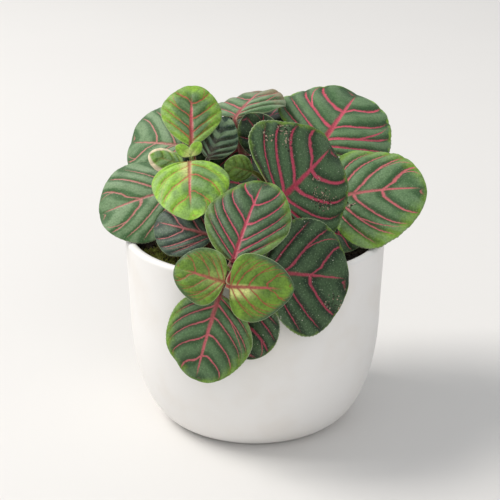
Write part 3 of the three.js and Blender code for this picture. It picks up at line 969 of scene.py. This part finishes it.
LOOKS = {
    "grown": dict(
        width=1.05, rib=1.5, sweep=(2.3, 0.5, 1.3), lime=2.5, forks=0.2, pale=0.7, specks=0.4,
        shade=1.55, muted=0.05, depth=0.8,
    ),
    "dusty": dict(
        width=1.05, rib=1.4, sweep=(2.7, 0.48, 1.2), lime=3.5, forks=0.0, pale=0.3, shade=0.95,
        depth=0.9, dust=0.8,
    ),
    # A dark look for the front leaves: partly their own deep green, partly painted shade.
    "deep": dict(
        veins=4, width=0.7, rib=1.0, sweep=(2.2, 0.48, 1.5), lime=2.0, forks=0.2, pale=0.2,
        shade=0.68, dust=1.0, strength=0.78,
    ),
    "spread": dict(
        width=0.72, rib=1.0, sweep=(2.7, 0.44, 1.5), lime=11.0, forks=0.3, pale=0.7, shade=1.4,
        depth=0.65, muted=0.2, dust=0.3,
    ),
    "half_grown": dict(HALF_GROWN, muted=0.16, depth=0.6, shade=1.12),
    "upright": dict(HALF_GROWN, shade=0.86, muted=0.02, depth=0.7),
    "blue": dict(
        veins=4, width=0.55, rib=0.8, sweep=(2.5, 0.36, 1.6), field="blue", shade=0.78, pale=0.4,
        muted=0.2, depth=0.7,
    ),
    "puckered": dict(
        width=0.4, rib=0.6, field="blue", shade=2.0, strength=0.0, pale=2.4, depth=0.8, gloss=0.32,
    ),
    "folded": dict(veins=3, width=0.5, rib=0.8, shade=0.5, pale=0.1, strength=0.6, lime=2.0),
    "fanned": dict(
        veins=4, width=0.6, rib=0.7, sweep=(2.7, 0.36, 1.9), pale=1.35, muted=0.36, depth=0.12,
        wine=0.15, shade=1.42,
    ),
    "bronze": dict(
        veins=4, width=0.7, rib=1.0, sweep=(2.0, 0.5, 1.4), pale=1.5, bronze=1.0, muted=0.2,
        depth=0.5, shade=1.55,
    ),
    "shaded": dict(veins=4, width=0.5, rib=0.75, pale=0.3, shade=0.8),
    "young": dict(
        young=True, width=0.46, rib=1.1, sweep=(1.7, 0.5, 1.4), stray=0.16, heart=0.85, shade=1.55,
        pale=0.6, specks=0.4, strength=0.85,
    ),
    "young_glow": dict(
        young=True, veins=4, width=0.4, rib=0.9, sweep=(1.9, 0.45, 1.1), stray=0.24, heart=0.7,
        glow=1.3, side=-1.0, shade=2.25, pale=0.8, specks=0.4, strength=0.75,
    ),
    "young_olive": dict(YOUNG_TIP, shade=1.0, glow=0.3, rim=0.8, strength=0.68),
    "young_rim": dict(YOUNG_TIP, shade=1.25, glow=1.6, side=-1.0, rim=1.0, strength=0.85),
    "young_dry": dict(
        young=True, veins=4, width=0.2, rib=0.4, stray=0.2, strength=0.15, dry=1.0, heart=0.5,
        shade=1.6, pale=0.9,
    ),
    "young_plain": dict(
        young=True, veins=4, width=0.16, rib=0.3, strength=0.2, shade=0.9, pale=0.2, specks=0.3,
    ),
    "bud": dict(
        young=True, width=0.1, rib=0.2, strength=0.1, shade=2.0, glow=0.7, pale=0.3, specks=0.2
    ),
}


def leaf_finish(name, colours):
    """Velvety skin with red veins, which follow the blade's own pleats."""
    look = {**PLAIN_LOOK, **LOOKS[name]}
    young, shade = look["young"], look["shade"]
    sheen = {"Sheen_Weight": 0.14, "Sheen_Roughness": 0.4, "Sheen_Tint": (0.9, 0.96, 0.86)}
    finish = Finish("leaf_" + name, Specular_IOR_Level=0.3, **sheen)
    phase, spacing, seed = finish.attribute("vein")
    along, across, margin = finish.attribute("blade")
    on_top, edge, stalk = finish.attribute("face")
    blotch = finish.noise(8, 2)
    wobble = finish.noise(2.6, 2)
    fine = finish.noise(0.6, 2)
    pebble = finish.cells(0.85)

    def tone(colour, share=1.0):
        return tuple(part * share for part in colour)

    def beside(count):
        """Distance in millimetres from the nearest whole number of a count of veins."""
        return abs((count + 0.5).fract() - 0.5) * spacing

    def line(distance, half_width):
        return 1 - distance.smooth(half_width * 0.35, half_width * 1.4)

    strayed = phase + (wobble - 0.5) * look["stray"]
    draw = finish.chance((phase + 0.5).floor(), seed.floor())
    width = look["width"] * (0.72 + 0.45 * draw) * (1 - 0.82 * edge) * (0.75 + 0.5 * fine)
    width = width.least(spacing * 0.24)
    near = beside(strayed)
    reach = (1 - edge.smooth(0.62 + 0.16 * draw, 0.97)) * (1 - along.smooth(0.9, 0.97))
    veins = line(near, width) * reach * phase.smooth(0.35, 0.6)
    branch = strayed - (edge - FORK_AT).most(0.0) * 1.5
    forked = finish.chance((branch + 0.5).floor() + 11, seed.floor()) < look["forks"]
    forks = line(beside(branch), width * 0.75) * (edge > FORK_AT) * forked * reach * phase.smooth(0.7, 1.0)
    rib_width = look["rib"] * (1 - along).most(0.0) ** 0.75 + 0.1
    rib_end = (0.55, 0.85) if young else (0.8, 0.97)
    rib = line(abs(across + (wobble - 0.5) * 0.7), rib_width) * (1 - along.smooth(*rib_end))
    rib = rib.most(1 - along.smooth(0.0, 0.02))
    mark = veins.most(forks).most(rib) * look["strength"]

    # Greens: deep with painted shade along the sunken veins, paler on the cushions between them,
    # lime to the margin. A young blade is lime all over, darker in patches, and glows beside its midrib.
    cushion = (abs((strayed + 0.5).fract() - 0.5) * 2).smooth(0.05, 0.8)
    # Each look's share scales its greens: partly the leaf's own tone, partly painted light and shade.
    field = tone(getattr(colours, look["field"]), shade * (0.75 if young else 1.0))
    deep = tone(colours.deep, shade)
    deep = tuple(dark + (light - dark) * (1 - look["depth"]) for dark, light in zip(deep, field))
    green = finish.mix(deep, field, cushion * 0.75 + blotch * 0.4)
    mottle = (wobble * 0.6 + blotch * 0.6).smooth(0.4, 0.8)
    lime_tone = finish.mix(tone(colours.lime, shade), tone(colours.lime, shade * 0.62), mottle)
    if young:
        patches = (1 - edge.smooth(0.2, 0.8)) * 0.8 + cushion * 0.4 + wobble * 0.4 - 0.35
        patches = patches * along.smooth(0.04, 0.25) * (1 - along.smooth(0.7, 0.98))
        patches = patches * (1 - look["side"] * 0.6 * (across * 0.25).least(1.0).most(-1.0))
        green = finish.mix(lime_tone, green, patches.smooth(0.1, 0.8) * look["heart"])
        lit = (1 - (abs(across) / 6.5).smooth(0.05, 1.0)) * (1 - along.smooth(0.08, 0.55))
        lit = lit * along.smooth(0.0, 0.03)
        lit = lit * (1 + look["side"] * (across * 0.6).least(1.0).most(-1.0)).least(1.0)
        green = finish.mix(green, colours.glow, (lit * look["glow"]).least(1.0))
        rim = (1 - margin.smooth(0.0, 4.2)) * look["rim"] * along.smooth(0.05, 0.6) * 0.9
        green = finish.mix(green, tone(colours.blue, 1.1), rim)
    elif look["lime"]:
        lime = 1 - (margin + (blotch - 0.5) * 9 + (wobble - 0.5) * 4).smooth(0.0, look["lime"])
        green = finish.mix(green, lime_tone, lime * 0.85)
    # Painted shade beside each vein, where the blade sinks into it.
    halo = 1 - near.smooth(0.0, 1.7)
    green = finish.mix(green, deep, halo * reach * (0.25 if young else 0.4 * look["depth"]))
    if not young:
        by_red = (halo * reach).most(1 - (abs(across) / 2.4).smooth(0.2, 1.0))
        wine = tone(srgb(92, 42, 44), shade)
        green = finish.mix(green, wine, by_red * (1 - along) * look["wine"])
    # Painted highlight: the cushions' tops are paler where they catch the light.
    painted_highlight = (cushion * blotch * 1.4).smooth(0.2, 0.8)
    green = finish.mix(green, colours.pale, painted_highlight * look["pale"] * 0.45)

    # Reds: young veins are duller than the midrib, which is darkest near its foot. Like the greens,
    # they are scaled by the look's share of own tone and painted light and shade.
    red_share = 0.55 + 0.45 * shade
    red_side = tone(colours.vein_young if young else colours.vein, red_share)
    red_rib = rib * along.smooth(0.0, 0.4) * (0.8 if young else 0.0)
    red = finish.mix(red_side, tone(colours.vein, red_share), red_rib)
    dark_rib = rib * (1 - along.smooth(0.12, 0.6)) * (1.0 if look["rim"] else 0.75)
    red = finish.mix(red, colours.vein_dark, dark_rib)
    if look["muted"]:
        red = finish.mix(red, colours.pale, look["muted"])
    colour_top = finish.mix(green, red, mark)
    if look["bronze"]:
        tan = (edge * 0.3 + along * 0.9 + blotch * 0.9).smooth(1.0, 1.6)
        colour_top = finish.mix(colour_top, srgb(150, 118, 96), tan * look["bronze"] * 0.75)

    # Pale specks on the pebbles, partly pale hairs and partly painted glints, and painted shade in
    # the pits between them; dust, the thin margin, and the lower face.
    specks = pebble.smooth(0.42, 0.1) * fine.smooth(0.35, 0.7) * (1 - mark * 0.55)
    colour_top = finish.mix(colour_top, colours.pale, specks * look["specks"])
    colour_top = finish.mix(colour_top, tone(deep, 0.4), pebble.smooth(0.45, 0.85) * 0.25)
    if look["dust"]:
        dots = finish.cells(2.0).smooth(0.13, 0.08) * wobble.smooth(0.4, 0.6)
        colour_top = finish.mix(colour_top, srgb(206, 200, 184), dots * look["dust"] * 0.8)
    colour_top = finish.mix(colour_top, colours.margin, (1 - margin.smooth(0.1, 0.5)) * 0.7)
    if look["dry"]:
        crisp = (1 - (margin - blotch * 2.8).smooth(0.0, 1.4)) * along.smooth(0.25, 0.6)
        colour_top = finish.mix(colour_top, colours.dry, crisp * look["dry"])
    under = finish.mix(colours.under, colours.lime, 0.55 if young else 0.12)
    under = finish.mix(under, red_side, mark * 0.45)
    under = finish.mix(under, colours.deep, (0.5 - blotch).most(0.0) * 1.5)
    under = finish.mix(under, tone(colours.vein_dark, 0.9), 1 - stalk.smooth(0.6, 1.0))
    finish.set("Base Color", finish.mix(under, colour_top, on_top))

    finish.set("Roughness", 0.56 - look["gloss"] - 0.1 * mark + 0.14 * (fine - 0.5) - 0.06 * cushion)
    finish.bump(fine * 0.4 + (1 - pebble) * 0.7 + (1 - mark) * 0.5, 0.6, 0.24)
    return finish.material


# ---------------------------------------------------------------------------------------
# Scatters
# ---------------------------------------------------------------------------------------

SCATTER_INPUTS = (
    ("Density", "NodeSocketFloat", 1000.0),
    ("Size", "NodeSocketFloat", 0.002),
    ("Seed", "NodeSocketInt", 1),
    ("Material", "NodeSocketMaterial", None),
)


def crumb_shape(tree):
    """A lump with a few uneven faces."""
    ball = add_node(tree, "GeometryNodeMeshIcoSphere", inputs={"Radius": 0.5, "Subdivisions": 2})
    spot = {"Vector": add_node(tree, "GeometryNodeInputPosition"), "Scale": 1.7, "Detail": 1.0}
    rough = add_node(tree, "ShaderNodeTexNoise", inputs=spot, output="Color")
    push = vector_math(tree, "SUBTRACT", rough, (0.5, 0.5, 0.5))
    return add_node(tree, "GeometryNodeSetPosition", inputs={"Geometry": ball, "Offset": push})


def cone(tree, sides, rows, top, foot):
    """A cone of height 1, with these radii."""
    inputs = {"Vertices": sides, "Side Segments": rows, "Fill Segments": 1, "Depth": 1.0}
    return add_node(tree, "GeometryNodeMeshCone", inputs={**inputs, "Radius Top": top, "Radius Bottom": foot})


def hair_shape(tree):
    return cone(tree, 3, 1, 0.0, 0.05)


def tuft_shape(tree):
    return cone(tree, 4, 2, 0.02, 0.16)


def scatter_tree(name, shape, lean, least):
    """Copies of a small shape over a surface, each turned by up to lean radians, and sized
    between the least share of Size and the whole of it, by a fixed draw."""
    tree, given = new_tree(name, SCATTER_INPUTS)
    spread = tree.nodes.new("GeometryNodeDistributePointsOnFaces")
    for entry, source in (("Mesh", "Geometry"), ("Density", "Density"), ("Seed", "Seed")):
        feed(tree, spread.inputs[entry], given[source])
    points, turn = Value(tree, spread.outputs["Points"]), Value(tree, spread.outputs["Rotation"])
    draw = {"data_type": "FLOAT_VECTOR"}
    leans = {0: (-lean, -lean, -3.1), 1: (lean, lean, 3.1), "Seed": given["Seed"]}
    angles = add_node(tree, "FunctionNodeRandomValue", draw, leans)
    scales = add_node(tree, "FunctionNodeRandomValue", draw, {0: (least,) * 3, 1: (1, 1, 1), "Seed": 5})
    scales = vector_math(tree, "SCALE", scales, scale=given["Size"])
    turn = add_node(tree, "FunctionNodeRotateRotation", {"rotation_space": "LOCAL"}, {0: turn, 1: angles})
    inputs = {"Points": points, "Instance": shape(tree), "Rotation": turn, "Scale": scales}
    copies = add_node(tree, "GeometryNodeInstanceOnPoints", inputs=inputs)
    real = add_node(tree, "GeometryNodeRealizeInstances", inputs={"Geometry": copies})
    real = add_node(tree, "GeometryNodeSetMaterial", inputs={"Geometry": real, "Material": given["Material"]})
    return end_tree(tree, real)


# ---------------------------------------------------------------------------------------
# Operators
# ---------------------------------------------------------------------------------------


def pot_radius(pot, height):
    """The pot's outside radius: a rounded quarter, and a wall that leans out a little."""
    if height >= pot.shoulder_height:
        part = (height - pot.shoulder_height) / (pot.height - pot.shoulder_height)
        return pot.shoulder_radius + part * (pot.rim_radius - pot.shoulder_radius)
    drop = 1 - height / pot.shoulder_height
    swell = (1 - drop ** pot.curve) ** (1 / pot.curve)
    return pot.foot_radius + (pot.shoulder_radius - pot.foot_radius) * swell


class PLANT_OT_pot(bpy.types.Operator):
    """Turns the ceramic pot"""

    bl_idname = "plant.pot"
    bl_label = "Pot"

    def execute(self, context):
        pot = context.scene.plant_pot
        lip = pot.wall / 2
        profile = [(0.0, 0.0), (pot.foot_radius - 0.5 * MM, 0.0)]
        bottom = [pot.shoulder_height * (i / 40) ** 1.6 for i in range(41)]
        wall = np.linspace(pot.shoulder_height, pot.height - lip, 10)[1:]
        profile += [(pot_radius(pot, z), z) for z in (*bottom, *wall)]
        middle = (pot.rim_radius - lip, pot.height - lip)
        for angle in np.linspace(0, math.pi, 14)[1:]:
            profile.append((middle[0] + lip * math.cos(angle), middle[1] + lip * math.sin(angle)))
        for z in np.linspace(pot.height - 2 * lip, INNER_FOOT, 16):
            profile.append((pot_radius(pot, z) - pot.wall, z))
        floor_radius = pot_radius(pot, INNER_FOOT) - pot.wall - FLOOR_INSET
        profile += [(floor_radius, pot.floor), (0.0, pot.floor)]
        piece = turned("pot_body", profile, POT_SIDES, ceramic_finish(pot))
        own(piece, "ceramic", "pot")
        return {"FINISHED"}


def patch(mesh, wanted):
    """A copy of the faces that are wanted."""
    faces = [tuple(face.vertices) for face in mesh.polygons if wanted(face)]
    used = sorted({corner for face in faces for corner in face})
    order = {corner: index for index, corner in enumerate(used)}
    part = bpy.data.meshes.new("patch")
    points = [tuple(mesh.vertices[corner].co) for corner in used]
    part.from_pydata(points, [], [tuple(order[corner] for corner in face) for face in faces])
    return part


def soil_lift(soil, pot):
    """Raises the soil's surface into low mounds with lumps on them."""
    inner = pot_radius(pot, soil.height) - pot.wall

    def lift(x, y, z):
        if z < soil.height - 1 * MM:
            return x, y, z
        mm_x, mm_y = x / MM, y / MM
        mounds = math.sin(0.19 * mm_x + 1.3) * math.cos(0.17 * mm_y)
        mounds += 0.5 * math.sin(0.41 * mm_x - 0.33 * mm_y)
        lumps = noise.fractal(Vector((mm_x, mm_y, 0)) * 0.35, 0.8, 2.1, 4)
        fade = min(1.0, (inner - math.hypot(x, y)) / (3 * MM))
        return x, y, z + soil.relief * mounds + 0.7 * MM * lumps * max(0.0, fade)

    return lift


class PLANT_OT_soil(bpy.types.Operator):
    """Fills the pot with soil, crumbs and a patch of moss"""

    bl_idname = "plant.soil"
    bl_label = "Soil"

    def execute(self, context):
        pot, soil = context.scene.plant_pot, context.scene.plant_soil
        inset = pot.wall + SOIL_GAP
        low = pot.floor + SOIL_GAP
        profile = [(0.0, low), (pot_radius(pot, INNER_FOOT) - inset - FLOOR_INSET, low)]
        heights = np.linspace(INNER_FOOT, soil.height - 2.5 * MM, 9)
        profile += [(pot_radius(pot, z) - inset, z) for z in heights]
        outer = pot_radius(pot, soil.height) - pot.wall - SOIL_GAP / 2
        profile += [(outer * radius, soil.height) for radius in np.linspace(1.0, 0.0, SOIL_RINGS)]
        profile[-1] = (0.0, soil.height)
        piece = turned("soil_bed", profile, SOIL_SIDES, soil_finish(soil), soil_lift(soil, pot))
        own(piece, "soil", "soil")

        def open_to_air(face):
            return face.normal.z > 0.3 and face.center.z > soil.height - 3 * MM

        def scatter(name, tree, density, size, material, wanted):
            values = {"Density": density, "Size": size, "Seed": soil.seed, "Material": material}
            own(grow(name, tree, values, patch(piece.data, wanted)), "soil")

        crumbs = scatter_tree("crumbs", crumb_shape, 3.1, 0.25)
        scatter("soil_crumbs", crumbs, float(soil.crumbs), soil.crumb_size, crumb_finish(soil), open_to_air)

        def mossy(face):
            return open_to_air(face) and (face.center.xy - MOSS_PLACE).length < MOSS_RADIUS

        tufts = scatter_tree("moss", tuft_shape, 0.9, 0.35)
        density = soil.tufts / (math.pi * MOSS_RADIUS ** 2)
        scatter("soil_moss", tufts, density, soil.tuft_length, moss_finish(soil), mossy)
        return {"FINISHED"}


def tube(curve, radius_at, steps, sides):
    """Points and faces of a round rod along a curve, closed at both ends."""
    points, faces = [], []
    side = None
    for i in range(steps + 1):
        share = i / steps
        ahead = curve.tangent(share)
        side = ahead.orthogonal() if side is None else side - ahead * side.dot(ahead)
        side = side.normalized()
        other = ahead.cross(side)
        for k in range(sides):
            turn = 2 * math.pi * k / sides
            spoke = side * math.cos(turn) + other * math.sin(turn)
            points.append(curve.point(share) + spoke * radius_at(share))
    for i in range(steps):
        for k in range(sides):
            a, b = i * sides + k, i * sides + (k + 1) % sides
            faces.append((a, b, b + sides, a + sides))
    points += [curve.point(0.0), curve.point(1.0) + curve.tangent(1.0) * radius_at(1.0) * 0.6]
    foot, tip, last = len(points) - 2, len(points) - 1, steps * sides
    for k in range(sides):
        faces.append((foot, (k + 1) % sides, k))
        faces.append((tip, last + k, last + (k + 1) % sides))
    return points, faces


class PLANT_OT_stems(bpy.types.Operator):
    """Grows the stems, thicker where leaves join them, with down on their skin"""

    bl_idname = "plant.stems"
    bl_label = "Stems"

    def execute(self, context):
        stem = context.scene.plant.stem
        skin, down = stem_finish(stem), down_finish()
        hairs = scatter_tree("down", hair_shape, 0.5, 0.5)
        for name, (path, leaves) in STEMS.items():
            curve = StemCurve(path)
            joints = [leaf[1] for leaf in leaves]

            def radius_at(share):
                swelling = sum(math.exp(-((share - joint) / JOINT_LENGTH) ** 2) for joint in joints)
                return stem_radius(stem, share) * (1 + JOINT_SWELLING * min(1.0, swelling))

            points, faces = tube(curve, radius_at, STEM_RINGS, STEM_SIDES)
            rod = mesh_from(f"stem_{name}_rod", points, faces, skin)
            values = {"Density": float(stem.hairs), "Size": stem.hair_length, "Seed": 3, "Material": down}
            coat = grow(f"stem_{name}_down", hairs, values, rod.data.copy())
            own(joined(f"stem_{name}_downy", [rod, coat]), "stem", f"stem_{name}")
        return {"FINISHED"}


class PLANT_OT_leaves(bpy.types.Operator):
    """Grows every leaf on its stem"""

    bl_idname = "plant.leaves"
    bl_label = "Leaves"

    def execute(self, context):
        scene = context.scene
        plant = scene.plant
        tree = leaf_tree()
        finishes = {name: leaf_finish(name, plant.leaf) for name in LOOKS}
        number = 0
        for path, leaves in STEMS.values():
            curve = StemCurve(path)
            for name, joint, at, angles, form, look, extra in leaves:
                at = Vector(at) * MM
                node, tangent = curve.point(joint), curve.tangent(joint)
                outward = at - node
                outward = (outward - tangent * outward.dot(tangent)).normalized()
                foot = node + outward * (stem_radius(plant.stem, joint) - PETIOLE_SINK)
                form = (form, {**PLAIN_LOOK, **LOOKS[look], **extra})
                stalk, finish = (foot, outward), (number, finishes[look], look != "shaded")
                piece = leaf_piece(f"leaf_{name}_blade", tree, plant, form, (at, angles), stalk, finish)
                slot = "young_leaf" if "young" in look else "mature_leaf"
                own(piece, slot, f"leaf_{name}")
                number += 1
        self.buds(plant, tree, finishes["bud"])
        return {"FINISHED"}

    def buds(self, plant, tree, finish):
        """The unopened leaves at the tips of two stems. Only the left pair has a node."""
        for name, (lift, leaves) in BUD_LEAVES.items():
            curve = StemCurve(STEMS[name][0])
            tip, tangent = curve.point(1.0), curve.tangent(1.0)
            start = tip + tangent * lift * MM
            pieces = []
            for index, (heading, rise, roll, size, width) in enumerate(leaves):
                form = ((size, width, 12), {**PLAIN_LOOK, "veins": 0, "petiole": min(0.8, width * 0.16)})
                place, stalk = (start, (heading, rise, roll)), (tip, tangent)
                look = (index, finish, False)
                pieces.append(leaf_piece(f"bud_{name}_{index}", tree, plant, form, place, stalk, look))
            piece = joined(f"bud_{name}_pair", pieces)
            own(piece, "young_leaf", *([f"bud_{name}"] if name == "left" else []))


class PLANT_OT_litter(bpy.types.Operator):
    """Drops crumbs of soil on some of the leaves"""

    bl_idname = "plant.litter"
    bl_label = "Litter"

    def execute(self, context):
        soil = context.scene.plant_soil
        tree, material = scatter_tree("litter", crumb_shape, 3.1, 0.3), litter_finish(soil)
        pieces = []
        for leaf, along, across, radius, size, number in LITTER:
            # The spot's middle is the upper face's point nearest to the place that is asked for.
            mesh = bpy.data.objects[f"leaf_{leaf}_blade"].data
            blade, face = (np.empty(len(mesh.vertices) * 3, dtype=np.float32) for _ in range(2))
            mesh.attributes["blade"].data.foreach_get("vector", blade)
            mesh.attributes["face"].data.foreach_get("vector", face)
            blade, on_top = blade.reshape(-1, 3), face.reshape(-1, 3)[:, 0] > 0.5
            miss = ((blade[:, 0] - along) * 40) ** 2 + (blade[:, 1] - across) ** 2
            miss = miss + np.where(on_top, 0, 1e6)
            centre = mesh.vertices[int(miss.argmin())].co

            def near(face):
                close = (face.center - centre).length < radius * MM
                return close and all(on_top[corner] for corner in face.vertices)

            density = number / (math.pi * (radius * MM) ** 2)
            values = {"Density": density, "Size": size * MM, "Seed": len(pieces) + 1, "Material": material}
            pieces.append(grow(f"litter_{len(pieces)}", tree, values, patch(mesh, near)))
        own(joined("leaf_litter", pieces), "soil")
        return {"FINISHED"}


class PLANT_OT_stage(bpy.types.Operator):
    """Sets the pale floor, the soft lights and the camera"""

    bl_idname = "plant.stage"
    bl_label = "Stage"

    def execute(self, context):
        scene, stage = context.scene, context.scene.plant_stage
        half = stage.floor_size / 2
        finish = Finish("pale_floor", Roughness=0.7)
        darker = tuple(part * 0.96 for part in stage.floor)
        finish.set("Base Color", finish.mix(stage.floor, darker, finish.noise(300, 2)))
        corners = [(-half, -half, 0), (half, -half, 0), (half, half, 0), (-half, half, 0)]
        mesh_from("floor", corners, [(0, 1, 2, 3)], finish.material, smooth=False)

        world = bpy.data.worlds.new("pale_surroundings")
        world.use_nodes = True
        background = world.node_tree.nodes["Background"]
        background.inputs["Color"].default_value = (*stage.sky, 1.0)
        background.inputs["Strength"].default_value = stage.world
        scene.world = world
        for name, (place, target, size, tint) in LIGHTS.items():
            self.lamp(f"{name}_light", place, target, size, getattr(stage, name), srgb(*tint))

        camera = bpy.data.objects.new("camera", bpy.data.cameras.new("camera"))
        scene.collection.objects.link(camera)
        camera.data.sensor_width = 36.0
        camera.data.lens = stage.lens
        camera.data.shift_x = CAMERA_SHIFT
        camera.data.clip_start = 0.01
        camera.location = CAMERA_PLACE
        camera.rotation_euler = (math.pi / 2 - stage.pitch, 0.0, 0.0)
        scene.camera = camera
        scene.view_settings.view_transform = "Standard"
        return {"FINISHED"}

    def lamp(self, name, place, target, size, power, tint):
        data = bpy.data.lights.new(name, "AREA")
        data.energy = power
        data.size = size
        data.color = tint
        lamp = bpy.data.objects.new(name, data)
        bpy.context.scene.collection.objects.link(lamp)
        lamp.location = place
        lamp.rotation_euler = (Vector(target) - Vector(place)).to_track_quat("-Z", "Y").to_euler()


class PlantSettings(bpy.types.PropertyGroup):
    """The stems and leaves together"""

    stem: PointerProperty(type=StemSettings, name="Stems", description="The stems' sizes and colours")
    leaf: PointerProperty(type=LeafSettings, name="Leaves", description="The leaves' form and colours")


class PLANT_PT_panel(bpy.types.Panel):
    """Lists the plant's pieces"""

    bl_idname = "PLANT_PT_panel"
    bl_label = "Potted Nerve Plant"
    bl_space_type = "VIEW_3D"
    bl_region_type = "UI"
    bl_category = "Plant"

    def draw(self, context):
        for operator in OPERATORS:
            self.layout.operator(operator.bl_idname)


OPERATORS = (PLANT_OT_pot, PLANT_OT_soil, PLANT_OT_stems, PLANT_OT_leaves, PLANT_OT_litter, PLANT_OT_stage)
GROUPS = (PotSettings, SoilSettings, StemSettings, LeafSettings, StageSettings, PlantSettings)
SETTINGS = {
    "plant_pot": PotSettings,
    "plant_soil": SoilSettings,
    "plant_stage": StageSettings,
    "plant": PlantSettings,
}


def register():
    for kind in (*GROUPS, *OPERATORS, PLANT_PT_panel):
        bpy.utils.register_class(kind)
    for name, kind in SETTINGS.items():
        setattr(bpy.types.Scene, name, PointerProperty(type=kind))


def unregister():
    for name in SETTINGS:
        delattr(bpy.types.Scene, name)
    for kind in reversed((*GROUPS, *OPERATORS, PLANT_PT_panel)):
        bpy.utils.unregister_class(kind)


def main():
    register()
    bpy.ops.plant.stage()
    bpy.ops.plant.pot()
    bpy.ops.plant.soil()
    bpy.ops.plant.stems()
    bpy.ops.plant.leaves()
    bpy.ops.plant.litter()


if __name__ == "__main__":
    main()
